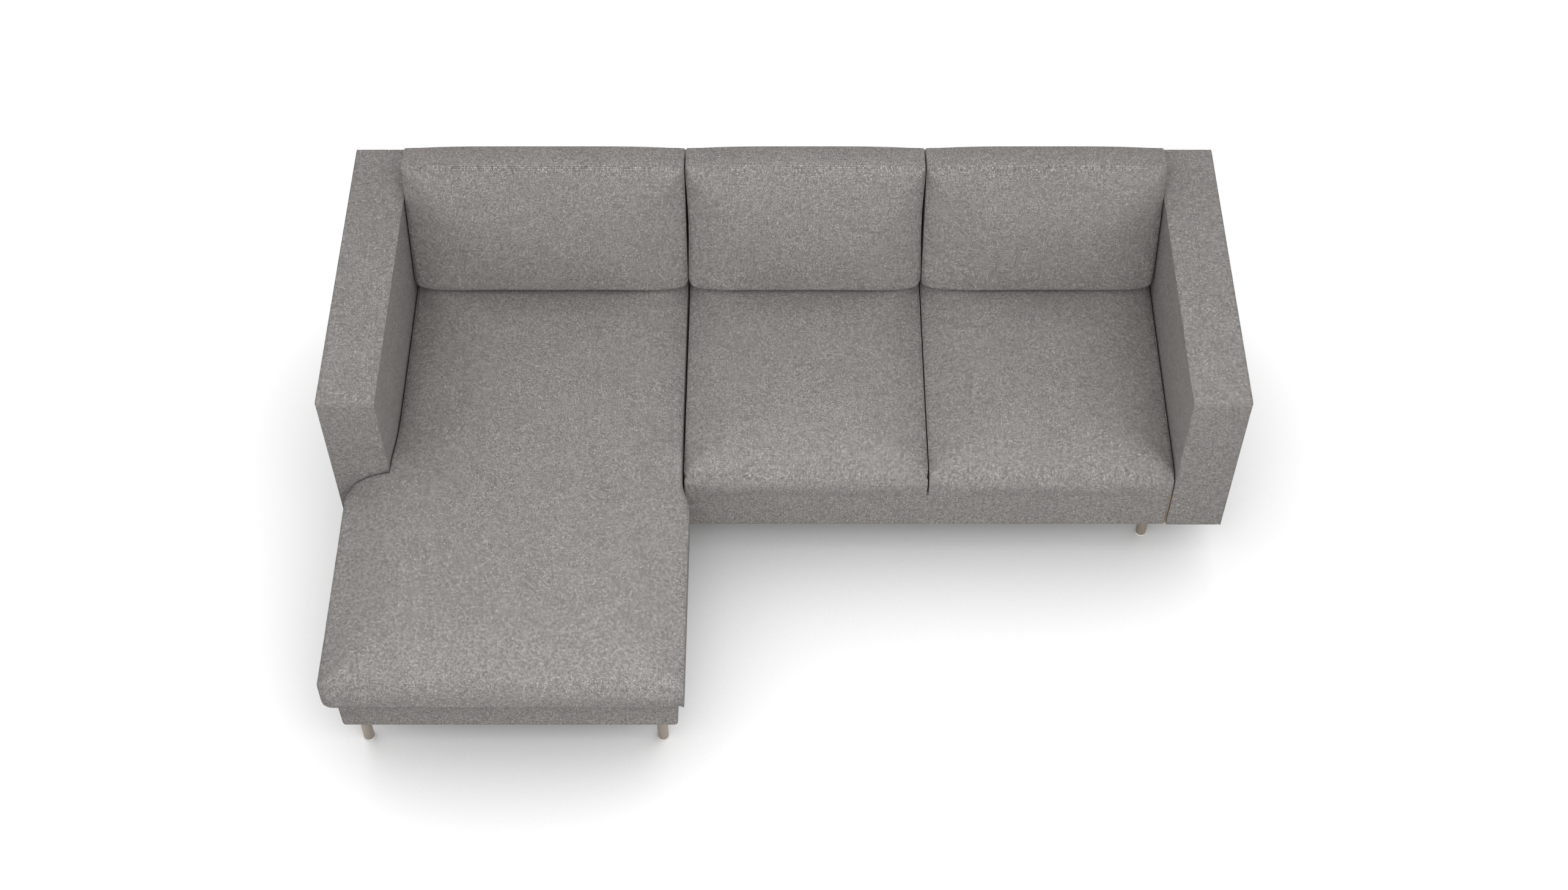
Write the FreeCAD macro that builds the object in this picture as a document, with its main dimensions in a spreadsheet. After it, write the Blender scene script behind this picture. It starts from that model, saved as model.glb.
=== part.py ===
import FreeCAD, Part
import math
import os
import re
import Sketcher

# Sectional sofa with a chaise on its left side, in millimetres.
# Seen from the front, X runs to the right; Y runs from the front to the back and Z runs up.
# The origin lies on the floor, under the middle of the sofa's outer box.

os.makedirs("parts", exist_ok=True)
doc = FreeCAD.newDocument("ChaiseSofa")
sheet = doc.addObject("Spreadsheet::Sheet", "Sizes")

# Driving sizes: alias, value, meaning
SIZES = (
    ("overall_width", "2560", "across both arms"),
    ("sofa_depth", "980", "from an arm's front to the back's rear face"),
    ("chaise_depth", "1652", "from the chaise base's front to the back's rear face"),
    ("chaise_overhang", "35", "how far the chaise cushion stands out over its base"),
    ("chaise_width", "990", "chaise section with its arm"),
    ("chaise_side_inset", "66", "chaise base's outer side, in from the arm's outer face"),
    ("section_gap", "2", "between the two sections"),
    ("arm_width", "160", "one arm with its padding and cover"),
    ("arm_height", "713", "arm's top above the floor"),
    ("leg_height", "141", "floor to the underside of the base"),
    ("base_height", "143", "upholstered base band"),
    ("rail_setback", "5", "base front behind the arm's front"),
    ("cover_thickness", "2", "upholstery fabric with its lining"),
    ("edge_radius", "11", "outer edges of arms, backs and bases"),
    ("arm_padding", "12", "foam on an arm"),
    ("back_padding", "16", "foam on a back"),
    ("back_top_depth", "102", "back at its top, from front to rear"),
    ("back_lean", "12", "slope of the back's front face, in degrees"),
    ("rail_thickness", "20", "base rails"),
    ("deck_thickness", "2", "cloth over the springs"),
    ("dust_thickness", "1", "cloth under the base"),
    ("dust_inset", "12", "dust cloth's edge, in from the outline"),
    ("dust_clearance", "0.5", "around each leg in the dust cloth"),
    ("frame_stud_width", "40", "uprights and rails of the arm and back frames"),
    ("frame_rows", "2", "rows of openings in the arm and back frames"),
    ("arm_bays", "4", "openings along an arm frame"),
    ("chaise_back_bays", "4", "openings along the chaise's back frame"),
    ("loveseat_back_bays", "6", "openings along the loveseat's back frame"),
    ("leg_inset", "48", "leg's middle, in from the side and front of the base"),
    ("leg_setback", "78", "loveseat's corner leg, back from the arm's front"),
    ("support_setback", "130", "support legs, back from the arm's front"),
    ("leg_radius", "15", "leg tube outside"),
    ("leg_wall", "2", "leg tube wall"),
    ("leg_cap", "6", "closed top of a leg"),
    ("glide_flange", "4", "glide under the leg tube"),
    ("glide_lip", "1.5", "glide standing out past the tube"),
    ("glide_plug", "12", "glide's plug inside the tube"),
    ("plug_clearance", "0.1", "around the glide's plug"),
    ("plate_size", "50", "square leg plate"),
    ("plate_thickness", "3", "leg plate"),
    ("stud_radius", "5", "threaded stud of a leg"),
    ("stud_length", "40", "whole stud"),
    ("stud_clearance", "0.1", "around the stud in cap, plate and block"),
    ("screw_radius", "2.2", "plate screws"),
    ("screw_length", "28", "plate screws, from the plate's underside"),
    ("screw_spread", "34", "between a plate's screws"),
    ("screw_head_radius", "4.2", "plate screws"),
    ("screw_head_depth", "1.4", "plate screws, sunk in the plate"),
    ("block_height", "70", "leg blocks"),
    ("wire_radius", "1.9", "zigzag spring wire"),
    ("spring_half_width", "34", "zigzag springs, half across"),
    ("spring_pitch", "40", "one run of a spring to the next, about"),
    ("spring_spacing", "132", "one spring to the next"),
    ("spring_clearance", "0.3", "spring under the deck cloth and in its clips"),
    ("clip_length", "22", "spring clip along its rail"),
    ("clip_wall", "1.5", "spring clip's steel around the wire"),
    ("seat_split", "415", "joint between the loveseat's seats, right of the middle"),
    ("cushion_gap", "3", "beside each cushion"),
    ("seat_gap_front", "8", "chaise cushion's notch in front of the arm"),
    ("seat_front_setback", "3", "loveseat cushions behind the arm's front"),
    ("seat_rear_gap", "6", "behind the seat cushions, at the foot of the back"),
    ("chaise_side_overhang", "34", "chaise cushion past the outer side of its base"),
    ("chaise_inner_overhang", "22", "chaise cushion past the joint, in front of the loveseat"),
    ("seat_wall", "78", "seat cushion's side up to where its crown begins"),
    ("seat_crown", "48", "seat cushion's crown above that"),
    ("seat_reach", "210", "how far in the seat's crown keeps rising"),
    ("seat_foot_round", "14", "seat cushion's lower edge"),
    ("seat_corner", "34", "seat cushion's corners seen from above"),
    ("notch_round", "12", "inner corners of the chaise cushion, beside the arm and the loveseat"),
    ("seat_draw", "5", "how far a seat cushion's sides pull in"),
    ("back_cushion_top", "800", "back cushions' rear top edge above the floor"),
    ("back_wall", "84", "back cushion's side up to where its crown begins"),
    ("back_crown", "58", "back cushion's crown above that"),
    ("back_reach", "150", "how far in the back cushion's crown keeps rising"),
    ("back_foot_round", "16", "back cushion's rear edge"),
    ("back_corner", "36", "back cushion's corners seen from the front"),
    ("back_draw", "7", "how far a back cushion's sides pull in"),
    ("full_draw_side", "600", "a cushion's side this long or longer pulls in fully"),
    ("corner_softening", "0.45", "how much rounder the corners get with each step up the crown"),
    ("seat_clearance", "0.3", "cushions above what carries them"),
    ("core_clearance", "0.5", "foam core inside its cover"),
    ("hook_width", "60", "connector, from front to back"),
    ("hook_reach", "46", "connector plate under either section"),
    ("hook_thickness", "3", "connector steel"),
    ("hook_pin_radius", "6", "connector pin"),
    ("hook_clearance", "0.5", "around the pin and between the plates"),
    ("hook_setback", "300", "connectors in from the loveseat's front and the rear"),
)
for row, (alias, text, meaning) in enumerate(SIZES, start=1):
    sheet.set(f"A{row}", meaning)
    sheet.set(f"B{row}", text)
    sheet.setAlias(f"B{row}", alias)
doc.recompute()

# An edge lies in a plane when it is nearer than FLAT; lengths and volumes under NEAR count as none
NEAR = 1.0
FLAT = 0.01


def bound(text):
    """An expression in which every size points to its cell."""
    return re.sub(r"\b([a-z]+(?:_[a-z]+)+)\b", r"Sizes.\1", text)


def number(text):
    """The value of an expression."""
    return float(sheet.evalExpression(bound(text)))


def vector(x, y, z=0.0):
    return FreeCAD.Vector(x, y, z)


# Places, each worked out from the sizes

rear_y = "((chaise_depth + chaise_overhang) / 2)"
arm_front_y = f"({rear_y} - sofa_depth)"
chaise_front_y = f"({rear_y} - chaise_depth)"
base_front_y = f"({arm_front_y} + rail_setback)"
outer_x = "(overall_width / 2)"
arm_inner_x = "(overall_width / 2 - arm_width)"
chaise_inner_x = "(arm_width - overall_width / 2)"
joint_x = "(chaise_width - overall_width / 2)"
chaise_right_x = f"({joint_x} - section_gap / 2)"
loveseat_left_x = f"({joint_x} + section_gap / 2)"
chaise_left_x = "(chaise_side_inset - overall_width / 2)"
base_top = "(leg_height + base_height)"
deck_z = f"({base_top} - deck_thickness)"
back_run = f"((arm_height - {base_top}) * tan(back_lean * 1deg))"
back_foot_y = f"({rear_y} - back_top_depth - {back_run})"
rail_out = "cover_thickness"
rail_in = "(cover_thickness + rail_thickness)"
block_half = f"(leg_inset - {rail_in})"
rear_leg_y = f"({rear_y} - leg_setback)"
support_y = f"({arm_front_y} + support_setback)"

nodes = []


def keep(item, label):
    """Names a finished sub-part."""
    item.Label = label
    nodes.append(item)
    return item


# Building blocks


def box(label, x, y, z):
    """A board between two corners, each of x, y and z being a pair of expressions."""
    item = doc.addObject("Part::Box", label)
    for side, axis, (low, high) in zip(("Length", "Width", "Height"), "xyz", (x, y, z)):
        item.setExpression(side, bound(f"({high}) - ({low})"))
        item.setExpression(f".Placement.Base.{axis}", bound(low))
    return item


def rod(label, radius, x, y, z):
    """An upright round bar at x, y between the two heights in z."""
    item = doc.addObject("Part::Cylinder", label)
    item.setExpression("Radius", bound(radius))
    item.setExpression("Height", bound(f"({z[1]}) - ({z[0]})"))
    for axis, place in zip("xyz", (x, y, z[0])):
        item.setExpression(f".Placement.Base.{axis}", bound(place))
    return item


def group(label, items):
    """Like pieces that share one node."""
    item = doc.addObject("Part::Compound", label)
    item.Links = items
    return item


def cut(label, base, tool):
    item = doc.addObject("Part::Cut", label)
    item.Base = base
    item.Tool = tool
    return item


def polygon(body, name, role, points):
    """A closed sketch on one of the body's own planes, each corner tied to a pair of expressions."""
    sketch = body.newObject("Sketcher::SketchObject", name)
    plane = next(item for item in body.Origin.OriginFeatures if item.Role == role)
    sketch.AttachmentSupport = [(plane, "")]
    sketch.MapMode = "FlatFace"
    corners = [vector(number(u), number(v)) for u, v in points]
    for start, end in zip(corners, corners[1:] + corners[:1]):
        sketch.addGeometry(Part.LineSegment(start, end), False)
    for side in range(len(points)):
        following = (side + 1) % len(points)
        sketch.addConstraint(Sketcher.Constraint("Coincident", side, 2, following, 1))
    for side, (u, v) in enumerate(points):
        for kind, text in (("DistanceX", u), ("DistanceY", v)):
            place = Sketcher.Constraint(kind, -1, 1, side, 1, number(text))
            index = sketch.addConstraint(place)
            sketch.renameConstraint(index, f"{kind}{side}")
            sketch.setExpression(f"Constraints.{kind}{side}", bound(text))
    return sketch


def new_body(label, x, y, z):
    body = doc.addObject("PartDesign::Body", label)
    for axis, place in zip("xyz", (x, y, z)):
        body.setExpression(f".Placement.Base.{axis}", bound(place))
    return body


def pad(body, sketch, length):
    item = body.newObject("PartDesign::Pad", f"{body.Name}_pad")
    item.Profile = sketch
    item.setExpression("Length", bound(length))
    doc.recompute()
    return item


def pocket(body, sketch, length, backwards):
    """Cuts the sketch into the body and makes sure that it took something away."""
    before = body.Shape.Volume
    item = body.newObject("PartDesign::Pocket", f"{body.Name}_{sketch.Name}_pocket")
    item.Profile = sketch
    item.Reversed = backwards
    item.setExpression("Length", bound(length))
    doc.recompute()
    if body.Shape.Volume > before - NEAR:
        raise ValueError(f"{item.Name} cuts nothing")
    return item


def fillet(body, radius, chosen):
    """Rounds the edges that the test picks on the body's last feature."""
    base = body.Tip
    names = [f"Edge{i + 1}" for i, edge in enumerate(base.Shape.Edges) if chosen(edge)]
    item = body.newObject("PartDesign::Fillet", f"{body.Name}_fillet")
    item.Base = (base, names)
    item.setExpression("Radius", bound(radius))
    doc.recompute()
    return item


def hollow(body, thickness, removed):
    """Leaves a skin inside the body's outline, without the faces that the test picks."""
    base = body.Tip
    names = [f"Face{i + 1}" for i, face in enumerate(base.Shape.Faces) if removed(face)]
    item = body.newObject("PartDesign::Thickness", f"{body.Name}_skin")
    item.Base = (base, names)
    item.Reversed = True
    item.setExpression("Value", bound(thickness))
    doc.recompute()
    return item


def above_floor(edge):
    return edge.BoundBox.ZMax > NEAR


def upright_in_front(edge):
    return edge.BoundBox.ZLength > NEAR and edge.BoundBox.YMax < FLAT


def along_top(edge):
    """The two long edges on top of a back."""
    return edge.BoundBox.XLength > NEAR and edge.BoundBox.ZMin > number("base_height") + NEAR


def at_bottom(face):
    return face.BoundBox.ZMax < FLAT


def at_ends(face):
    return face.BoundBox.ZLength < FLAT


def rectangle(length, width):
    return (("0", "0"), (length, "0"), (length, width), ("0", width))


# Arms: a timber ladder frame in a foam hood and a fabric cover, both open underneath


def arm(side, low_x):
    depth = "sofa_depth"
    height = "(arm_height - leg_height)"
    cover = new_body(f"{side}_arm_cover", low_x, arm_front_y, "leg_height")
    pad(cover, polygon(cover, f"{side}_arm_plan", "XY_Plane", rectangle("arm_width", depth)), height)
    fillet(cover, "edge_radius", above_floor)
    hollow(cover, "cover_thickness", at_bottom)
    keep(cover, f"{side}_arm_cover")

    skin = "cover_thickness"
    foam = new_body(
        f"{side}_arm_padding", f"{low_x} + {skin}", f"{arm_front_y} + {skin}", "leg_height"
    )
    plan = rectangle(f"arm_width - 2 * {skin}", f"{depth} - 2 * {skin}")
    pad(foam, polygon(foam, f"{side}_foam_plan", "XY_Plane", plan), f"{height} - {skin}")
    fillet(foam, "edge_radius - cover_thickness", above_floor)
    inner_width = f"(arm_width - 2 * {skin} - 2 * arm_padding)"
    inner_depth = f"({depth} - 2 * {skin} - 2 * arm_padding)"
    core = [("arm_padding", "arm_padding"), (f"arm_padding + {inner_width}", "arm_padding")]
    core.append((f"arm_padding + {inner_width}", f"arm_padding + {inner_depth}"))
    core.append(("arm_padding", f"arm_padding + {inner_depth}"))
    inner_height = f"({height} - {skin} - arm_padding)"
    pocket(foam, polygon(foam, f"{side}_foam_core", "XY_Plane", core), inner_height, True)
    keep(foam, f"{side}_arm_padding")

    frame = new_body(
        f"{side}_arm_frame",
        f"{low_x} + {skin} + arm_padding",
        f"{arm_front_y} + {skin} + arm_padding",
        "leg_height",
    )
    side_view = polygon(frame, f"{side}_arm_side", "YZ_Plane", rectangle(inner_depth, inner_height))
    pad(frame, side_view, inner_width)
    axes = ("YZ_Plane", "Y_Axis")
    window_rows(frame, f"{side}_arm", axes, inner_depth, inner_height, "arm_bays", inner_width, True)
    keep(frame, f"{side}_arm_frame")


def window_rows(body, name, axes, length, height, count, depth, backwards):
    """Rows of openings through a frame, in the plane and along the axis that axes names."""
    bay = f"(({length} - ({count} + 1) * frame_stud_width) / {count})"
    row = f"(({height} - (frame_rows + 1) * frame_stud_width) / frame_rows)"
    plane, axis = axes
    for index in range(round(number("frame_rows"))):
        low = f"(frame_stud_width + {index} * ({row} + frame_stud_width))"
        window = [("frame_stud_width", low), (f"frame_stud_width + {bay}", low)]
        window.append((f"frame_stud_width + {bay}", f"{low} + {row}"))
        window.append(("frame_stud_width", f"{low} + {row}"))
        sketch = polygon(body, f"{name}_window{index}", plane, window)
        taken = pocket(body, sketch, depth, backwards)
        repeat(body, taken, axis, f"({bay} + frame_stud_width) * ({count} - 1)", count)


def repeat(body, feature, role, span, count):
    """Repeats a cut along one of the body's own axes."""
    before = body.Shape.Volume
    item = body.newObject("PartDesign::LinearPattern", f"{feature.Name}_row")
    item.Originals = [feature]
    axis = next(part for part in body.Origin.OriginFeatures if part.Role == role)
    item.Direction = (axis, [""])
    item.setExpression("Length", bound(span))
    item.setExpression("Occurrences", bound(count))
    body.Tip = item
    doc.recompute()
    if body.Shape.Volume > before - NEAR:
        raise ValueError(f"{item.Name} repeats nothing")


arm("left", f"(0 - {outer_x})")
arm("right", arm_inner_x)

# Backs: sloped at the front above the seat, upright at the rear


def back_profile(shrink):
    """Side view from the back's foot, drawn in by a margin everywhere but underneath."""
    foot = f"({shrink})"
    slope_x = f"({shrink} / cos(back_lean * 1deg))"
    knee = f"({slope_x} - ({shrink})) / tan(back_lean * 1deg)"
    top = f"(arm_height - leg_height - {shrink})"
    top_front = f"({back_run} + {slope_x} - ({shrink}) * tan(back_lean * 1deg))"
    rear = f"({back_run} + back_top_depth - {shrink})"
    # The slope starts at the seat deck; a parallel line drawn in meets the upright part a little lower.
    return ((foot, "0"), (rear, "0"), (rear, top), (top_front, top), (foot, f"base_height - {knee}"))


def back(section, low_x, high_x, bays):
    width = f"({high_x} - {low_x})"
    skin = "cover_thickness"
    cover = new_body(f"{section}_back_cover", low_x, back_foot_y, "leg_height")
    pad(cover, polygon(cover, f"{section}_back_side", "YZ_Plane", back_profile("0")), width)
    fillet(cover, "edge_radius", along_top)
    hollow(cover, skin, at_bottom)
    keep(cover, f"{section}_back_cover")

    foam = new_body(f"{section}_back_padding", f"{low_x} + {skin}", back_foot_y, "leg_height")
    side = polygon(foam, f"{section}_foam_side", "YZ_Plane", back_profile(skin))
    pad(foam, side, f"{width} - 2 * {skin}")
    fillet(foam, "edge_radius - cover_thickness", along_top)
    inner = f"({skin} + back_padding)"
    hole = polygon(foam, f"{section}_foam_core", "YZ_Plane", back_profile(inner))
    pocket(foam, hole, f"{width} - 2 * {skin}", True)
    keep(foam, f"{section}_back_padding")

    frame = new_body(f"{section}_back_timber", f"{low_x} + {skin}", back_foot_y, "leg_height")
    side = polygon(frame, f"{section}_frame_side", "YZ_Plane", back_profile(inner))
    length = f"({width} - 2 * {skin})"
    pad(frame, side, length)
    height = f"(arm_height - leg_height - {inner})"
    depth = f"{back_run} + back_top_depth"
    axes = ("XZ_Plane", "X_Axis")
    window_rows(frame, f"{section}_back", axes, length, height, bays, depth, False)
    return frame


chaise_back = back("chaise", f"(0 - {arm_inner_x})", chaise_right_x, "chaise_back_bays")
loveseat_back = back("loveseat", loveseat_left_x, arm_inner_x, "loveseat_back_bays")

# Bases: a fabric band around timber rails, with zigzag springs between them

rail_z = ("leg_height", deck_z)
inner_radius = "edge_radius - cover_thickness"


def shift(points, x, y):
    """The same outline seen from a new zero at x, y."""
    return [(f"({u}) - ({x})", f"({v}) - ({y})") for u, v in points]


def chaise_outline(margin):
    """The chaise base from above, drawn in by a margin."""
    left, notch = f"({chaise_left_x} + {margin})", f"({chaise_inner_x} + {margin})"
    right, rear = f"({chaise_right_x} - {margin})", f"({back_foot_y} - {margin})"
    front, step = f"({chaise_front_y} + {margin})", f"({arm_front_y} - {margin})"
    return [(left, front), (right, front), (right, rear), (notch, rear), (notch, step), (left, step)]


def loveseat_outline(margin):
    """The loveseat base from above, drawn in by a margin."""
    left, right = f"({loveseat_left_x} + {margin})", f"({arm_inner_x} - {margin})"
    front, rear = f"({base_front_y} + {margin})", f"({back_foot_y} - {margin})"
    return [(left, front), (right, front), (right, rear), (left, rear)]


def slab(label, outline, z, radius=None):
    """A flat body over an outline between two heights, its front corners rounded if a radius is given."""
    x, y = outline[0]
    body = new_body(label, x, y, z[0])
    pad(body, polygon(body, f"{label}_plan", "XY_Plane", shift(outline, x, y)), f"({z[1]}) - ({z[0]})")
    if radius:
        fillet(body, radius, upright_in_front)
    return body


def band(label, outline, radius=None):
    """The fabric around a base, open above and below."""
    body = slab(label, outline, ("leg_height", base_top), radius)
    hollow(body, "cover_thickness", at_ends)
    return keep(body, label)


band("chaise_base_cover", chaise_outline("0"), "edge_radius")
band("loveseat_base_cover", loveseat_outline("0"))
chaise_deck = slab("chaise_deck_cloth", chaise_outline(rail_out), (deck_z, base_top), inner_radius)
keep(chaise_deck, "chaise_deck_cloth")
loveseat_deck = slab("loveseat_deck_cloth", loveseat_outline(rail_out), (deck_z, base_top))
keep(loveseat_deck, "loveseat_deck_cloth")


def after(edge):
    """A rail's outer and inner face beside an outline's left or front edge."""
    return f"{edge} + {rail_out}", f"{edge} + {rail_in}"


def before(edge):
    """A rail's inner and outer face beside an outline's right or rear edge."""
    return f"{edge} - {rail_in}", f"{edge} - {rail_out}"


def inside(low, high):
    """From one rail's inner face to the opposite one's."""
    return f"{low} + {rail_in}", f"{high} - {rail_in}"


def across(low, high):
    """From one rail's outer face to the opposite one's."""
    return f"{low} + {rail_out}", f"{high} - {rail_out}"


def corners_of(x, y):
    return [(x[0], y[0]), (x[1], y[0]), (x[1], y[1]), (x[0], y[1])]


front = corners_of(across(chaise_left_x, chaise_right_x), after(chaise_front_y))
keep(slab("chaise_front_rail", front, rail_z, inner_radius), "chaise_front_rail")

chaise_step = (f"{arm_front_y} - {rail_out}", f"{back_foot_y} - {rail_in}")
chaise_return = (f"{chaise_left_x} + {rail_out}", f"{chaise_inner_x} + {rail_in}")
split_left = f"(seat_split + {block_half})"
split_right = f"({split_left} + rail_thickness)"
RAILS = {
    "chaise_outer_rail": (after(chaise_left_x), inside(chaise_front_y, arm_front_y)),
    "chaise_return_rail": (chaise_return, before(arm_front_y)),
    "chaise_inner_rail": (after(chaise_inner_x), chaise_step),
    "chaise_rear_rail": (across(chaise_inner_x, chaise_right_x), before(back_foot_y)),
    "chaise_joint_rail": (before(chaise_right_x), inside(chaise_front_y, back_foot_y)),
    "chaise_cross_rail": (inside(chaise_inner_x, chaise_right_x), before(arm_front_y)),
    "loveseat_front_rail": (across(loveseat_left_x, arm_inner_x), after(base_front_y)),
    "loveseat_rear_rail": (across(loveseat_left_x, arm_inner_x), before(back_foot_y)),
    "loveseat_joint_rail": (after(loveseat_left_x), inside(base_front_y, back_foot_y)),
    "loveseat_arm_rail": (before(arm_inner_x), inside(base_front_y, back_foot_y)),
    "loveseat_cross_rail": ((split_left, split_right), inside(base_front_y, back_foot_y)),
}
for label, (x_span, y_span) in RAILS.items():
    keep(box(label, x_span, y_span, rail_z), label)

# Zigzag springs and their clips

clip_half = "(clip_wall + spring_clearance + wire_radius)"
wire_z = f"({deck_z} - {clip_half})"


def zigzag(span, along):
    """One spring of a given span, its first run on the zero line, lying along X or Y."""
    turns = max(1, round(span / number("spring_pitch")))
    pitch = span / turns
    reach = number("spring_half_width") - pitch / 2
    edges = []
    for run in range(turns + 1):
        side = 1 if run % 2 else -1
        start, end = vector(run * pitch, side * reach), vector(run * pitch, -side * reach)
        edges.append(Part.LineSegment(start, end).toShape())
        if run < turns:
            bend = vector((run + 0.5) * pitch, -side * (reach + pitch / 2))
            edges.append(Part.Arc(end, bend, vector((run + 1) * pitch, -side * reach)).toShape())
    circle = Part.Circle(vector(0, -reach), vector(0, 1), number("wire_radius"))
    solid = Part.Wire(edges).makePipeShell([Part.Wire(circle.toShape())], True, False)
    if along == "Y":
        solid.rotate(vector(0, 0), vector(0, 0, 1), 90)
    return solid


def spring_row(low, high, start, end, along):
    """Springs side by side between low and high, each running from one rail face to another."""
    count = max(1, int((high - low) // number("spring_spacing")))
    edge = number(clip_half)
    spring = zigzag(end - start - 2 * edge, along)
    springs, clips = [], []
    for index in range(count):
        middle = low + (high - low) * (index + 0.5) / count
        place = vector(start + edge, middle) if along == "X" else vector(middle, start + edge)
        copy = spring.copy()
        copy.translate(place + vector(0, 0, number(wire_z)))
        springs.append(copy)
        for run in (start + edge, end - edge):
            clips.append(clip(run, middle) if along == "X" else turned(clip(run, -middle)))
    return springs, clips


def clip(run, middle):
    """A bored block around a spring's end run, which lies along Y at x = run."""
    length, edge = number("clip_length"), number(clip_half)
    corner = vector(run - edge, middle - length / 2, number(wire_z) - edge)
    block = Part.makeBox(2 * edge, length, 2 * edge, corner)
    bore = number("wire_radius + spring_clearance")
    hole = Part.makeCylinder(bore, length, vector(run, middle - length / 2, number(wire_z)), vector(0, 1))
    return block.cut(hole)


def turned(shape):
    """The same shape for a spring that runs along Y."""
    copy = shape.copy()
    copy.rotate(vector(0, 0), vector(0, 0, 1), 90)
    return copy


def shape_node(label, shapes):
    item = doc.addObject("Part::Feature", label)
    item.Shape = Part.makeCompound(shapes) if len(shapes) > 1 else shapes[0]
    item.Placement = FreeCAD.Placement()
    return keep(item, label)


def springs_of(section, rows):
    springs, clips = [], []
    for low, high, start, end, along in rows:
        row = spring_row(number(low), number(high), number(start), number(end), along)
        springs += row[0]
        clips += row[1]
    shape_node(f"{section}_springs", springs)
    shape_node(f"{section}_spring_clips", clips)


joint_face = f"({chaise_right_x} - {rail_in})"
chaise_front_part = inside(chaise_front_y, arm_front_y) + (f"{chaise_left_x} + {rail_in}", joint_face)
chaise_rear_part = chaise_step + (f"{chaise_inner_x} + {rail_in}", joint_face)
seat_span = inside(base_front_y, back_foot_y)
middle_part = (f"{loveseat_left_x} + {rail_in}", split_left) + seat_span
right_part = (split_right, f"{arm_inner_x} - {rail_in}") + seat_span
springs_of("chaise", (chaise_front_part + ("X",), chaise_rear_part + ("X",)))
springs_of("loveseat", (middle_part + ("Y",), right_part + ("Y",)))

# Legs: tube, glide, stud, plate and screws at each place, under a block or the back's timber frame

CHAISE_BLOCKS = (
    (f"{chaise_left_x} + leg_inset", f"{chaise_front_y} + leg_inset"),
    (f"{chaise_right_x} - leg_inset", f"{chaise_front_y} + leg_inset"),
    (f"{chaise_inner_x} + leg_inset", support_y),
    (f"{chaise_right_x} - leg_inset", support_y),
)
CHAISE_REAR = ((f"{chaise_inner_x} + leg_inset", rear_leg_y), (f"{chaise_right_x} - leg_inset", rear_leg_y))
LOVESEAT_BLOCKS = (
    (f"{arm_inner_x} - leg_inset", f"{arm_front_y} + leg_setback"),
    (f"{loveseat_left_x} + leg_inset", support_y),
    ("seat_split", support_y),
)
LOVESEAT_REAR = (
    (f"{arm_inner_x} - leg_inset", rear_leg_y),
    (f"{loveseat_left_x} + leg_inset", rear_leg_y),
    ("seat_split", rear_leg_y),
)
leg_top = "leg_height"
plate_top = "(leg_height + plate_thickness)"
stud_low = "(leg_height - leg_cap)"
stud_high = f"({stud_low} + stud_length)"


def rods(label, radius, places, z):
    """Upright bars of one size at every place."""
    return group(label, [rod(f"{label}_{i}", radius, x, y, z) for i, (x, y) in enumerate(places)])


def squares(label, half, places, z):
    """Square blocks of one size at every place."""
    items = []
    for i, (x, y) in enumerate(places):
        x_span = (f"{x} - {half}", f"{x} + {half}")
        y_span = (f"{y} - {half}", f"{y} + {half}")
        items.append(box(f"{label}_{i}", x_span, y_span, z))
    return group(label, items)


def around(places):
    """The four screws about each leg."""
    spread = "screw_spread / 2"
    signs = [(a, b) for a in "+-" for b in "+-"]
    return [(f"{x} {a} {spread}", f"{y} {b} {spread}") for x, y in places for a, b in signs]


def holes(name, places, z):
    """What a plate's stud and screws need in the timber above it."""
    stud = rods(f"{name}_stud_holes", "stud_radius + stud_clearance", places, (z, stud_high))
    top = f"{leg_top} + screw_length"
    screw = rods(f"{name}_screw_holes", "screw_radius + stud_clearance", around(places), (z, top))
    return [stud, screw]


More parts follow.
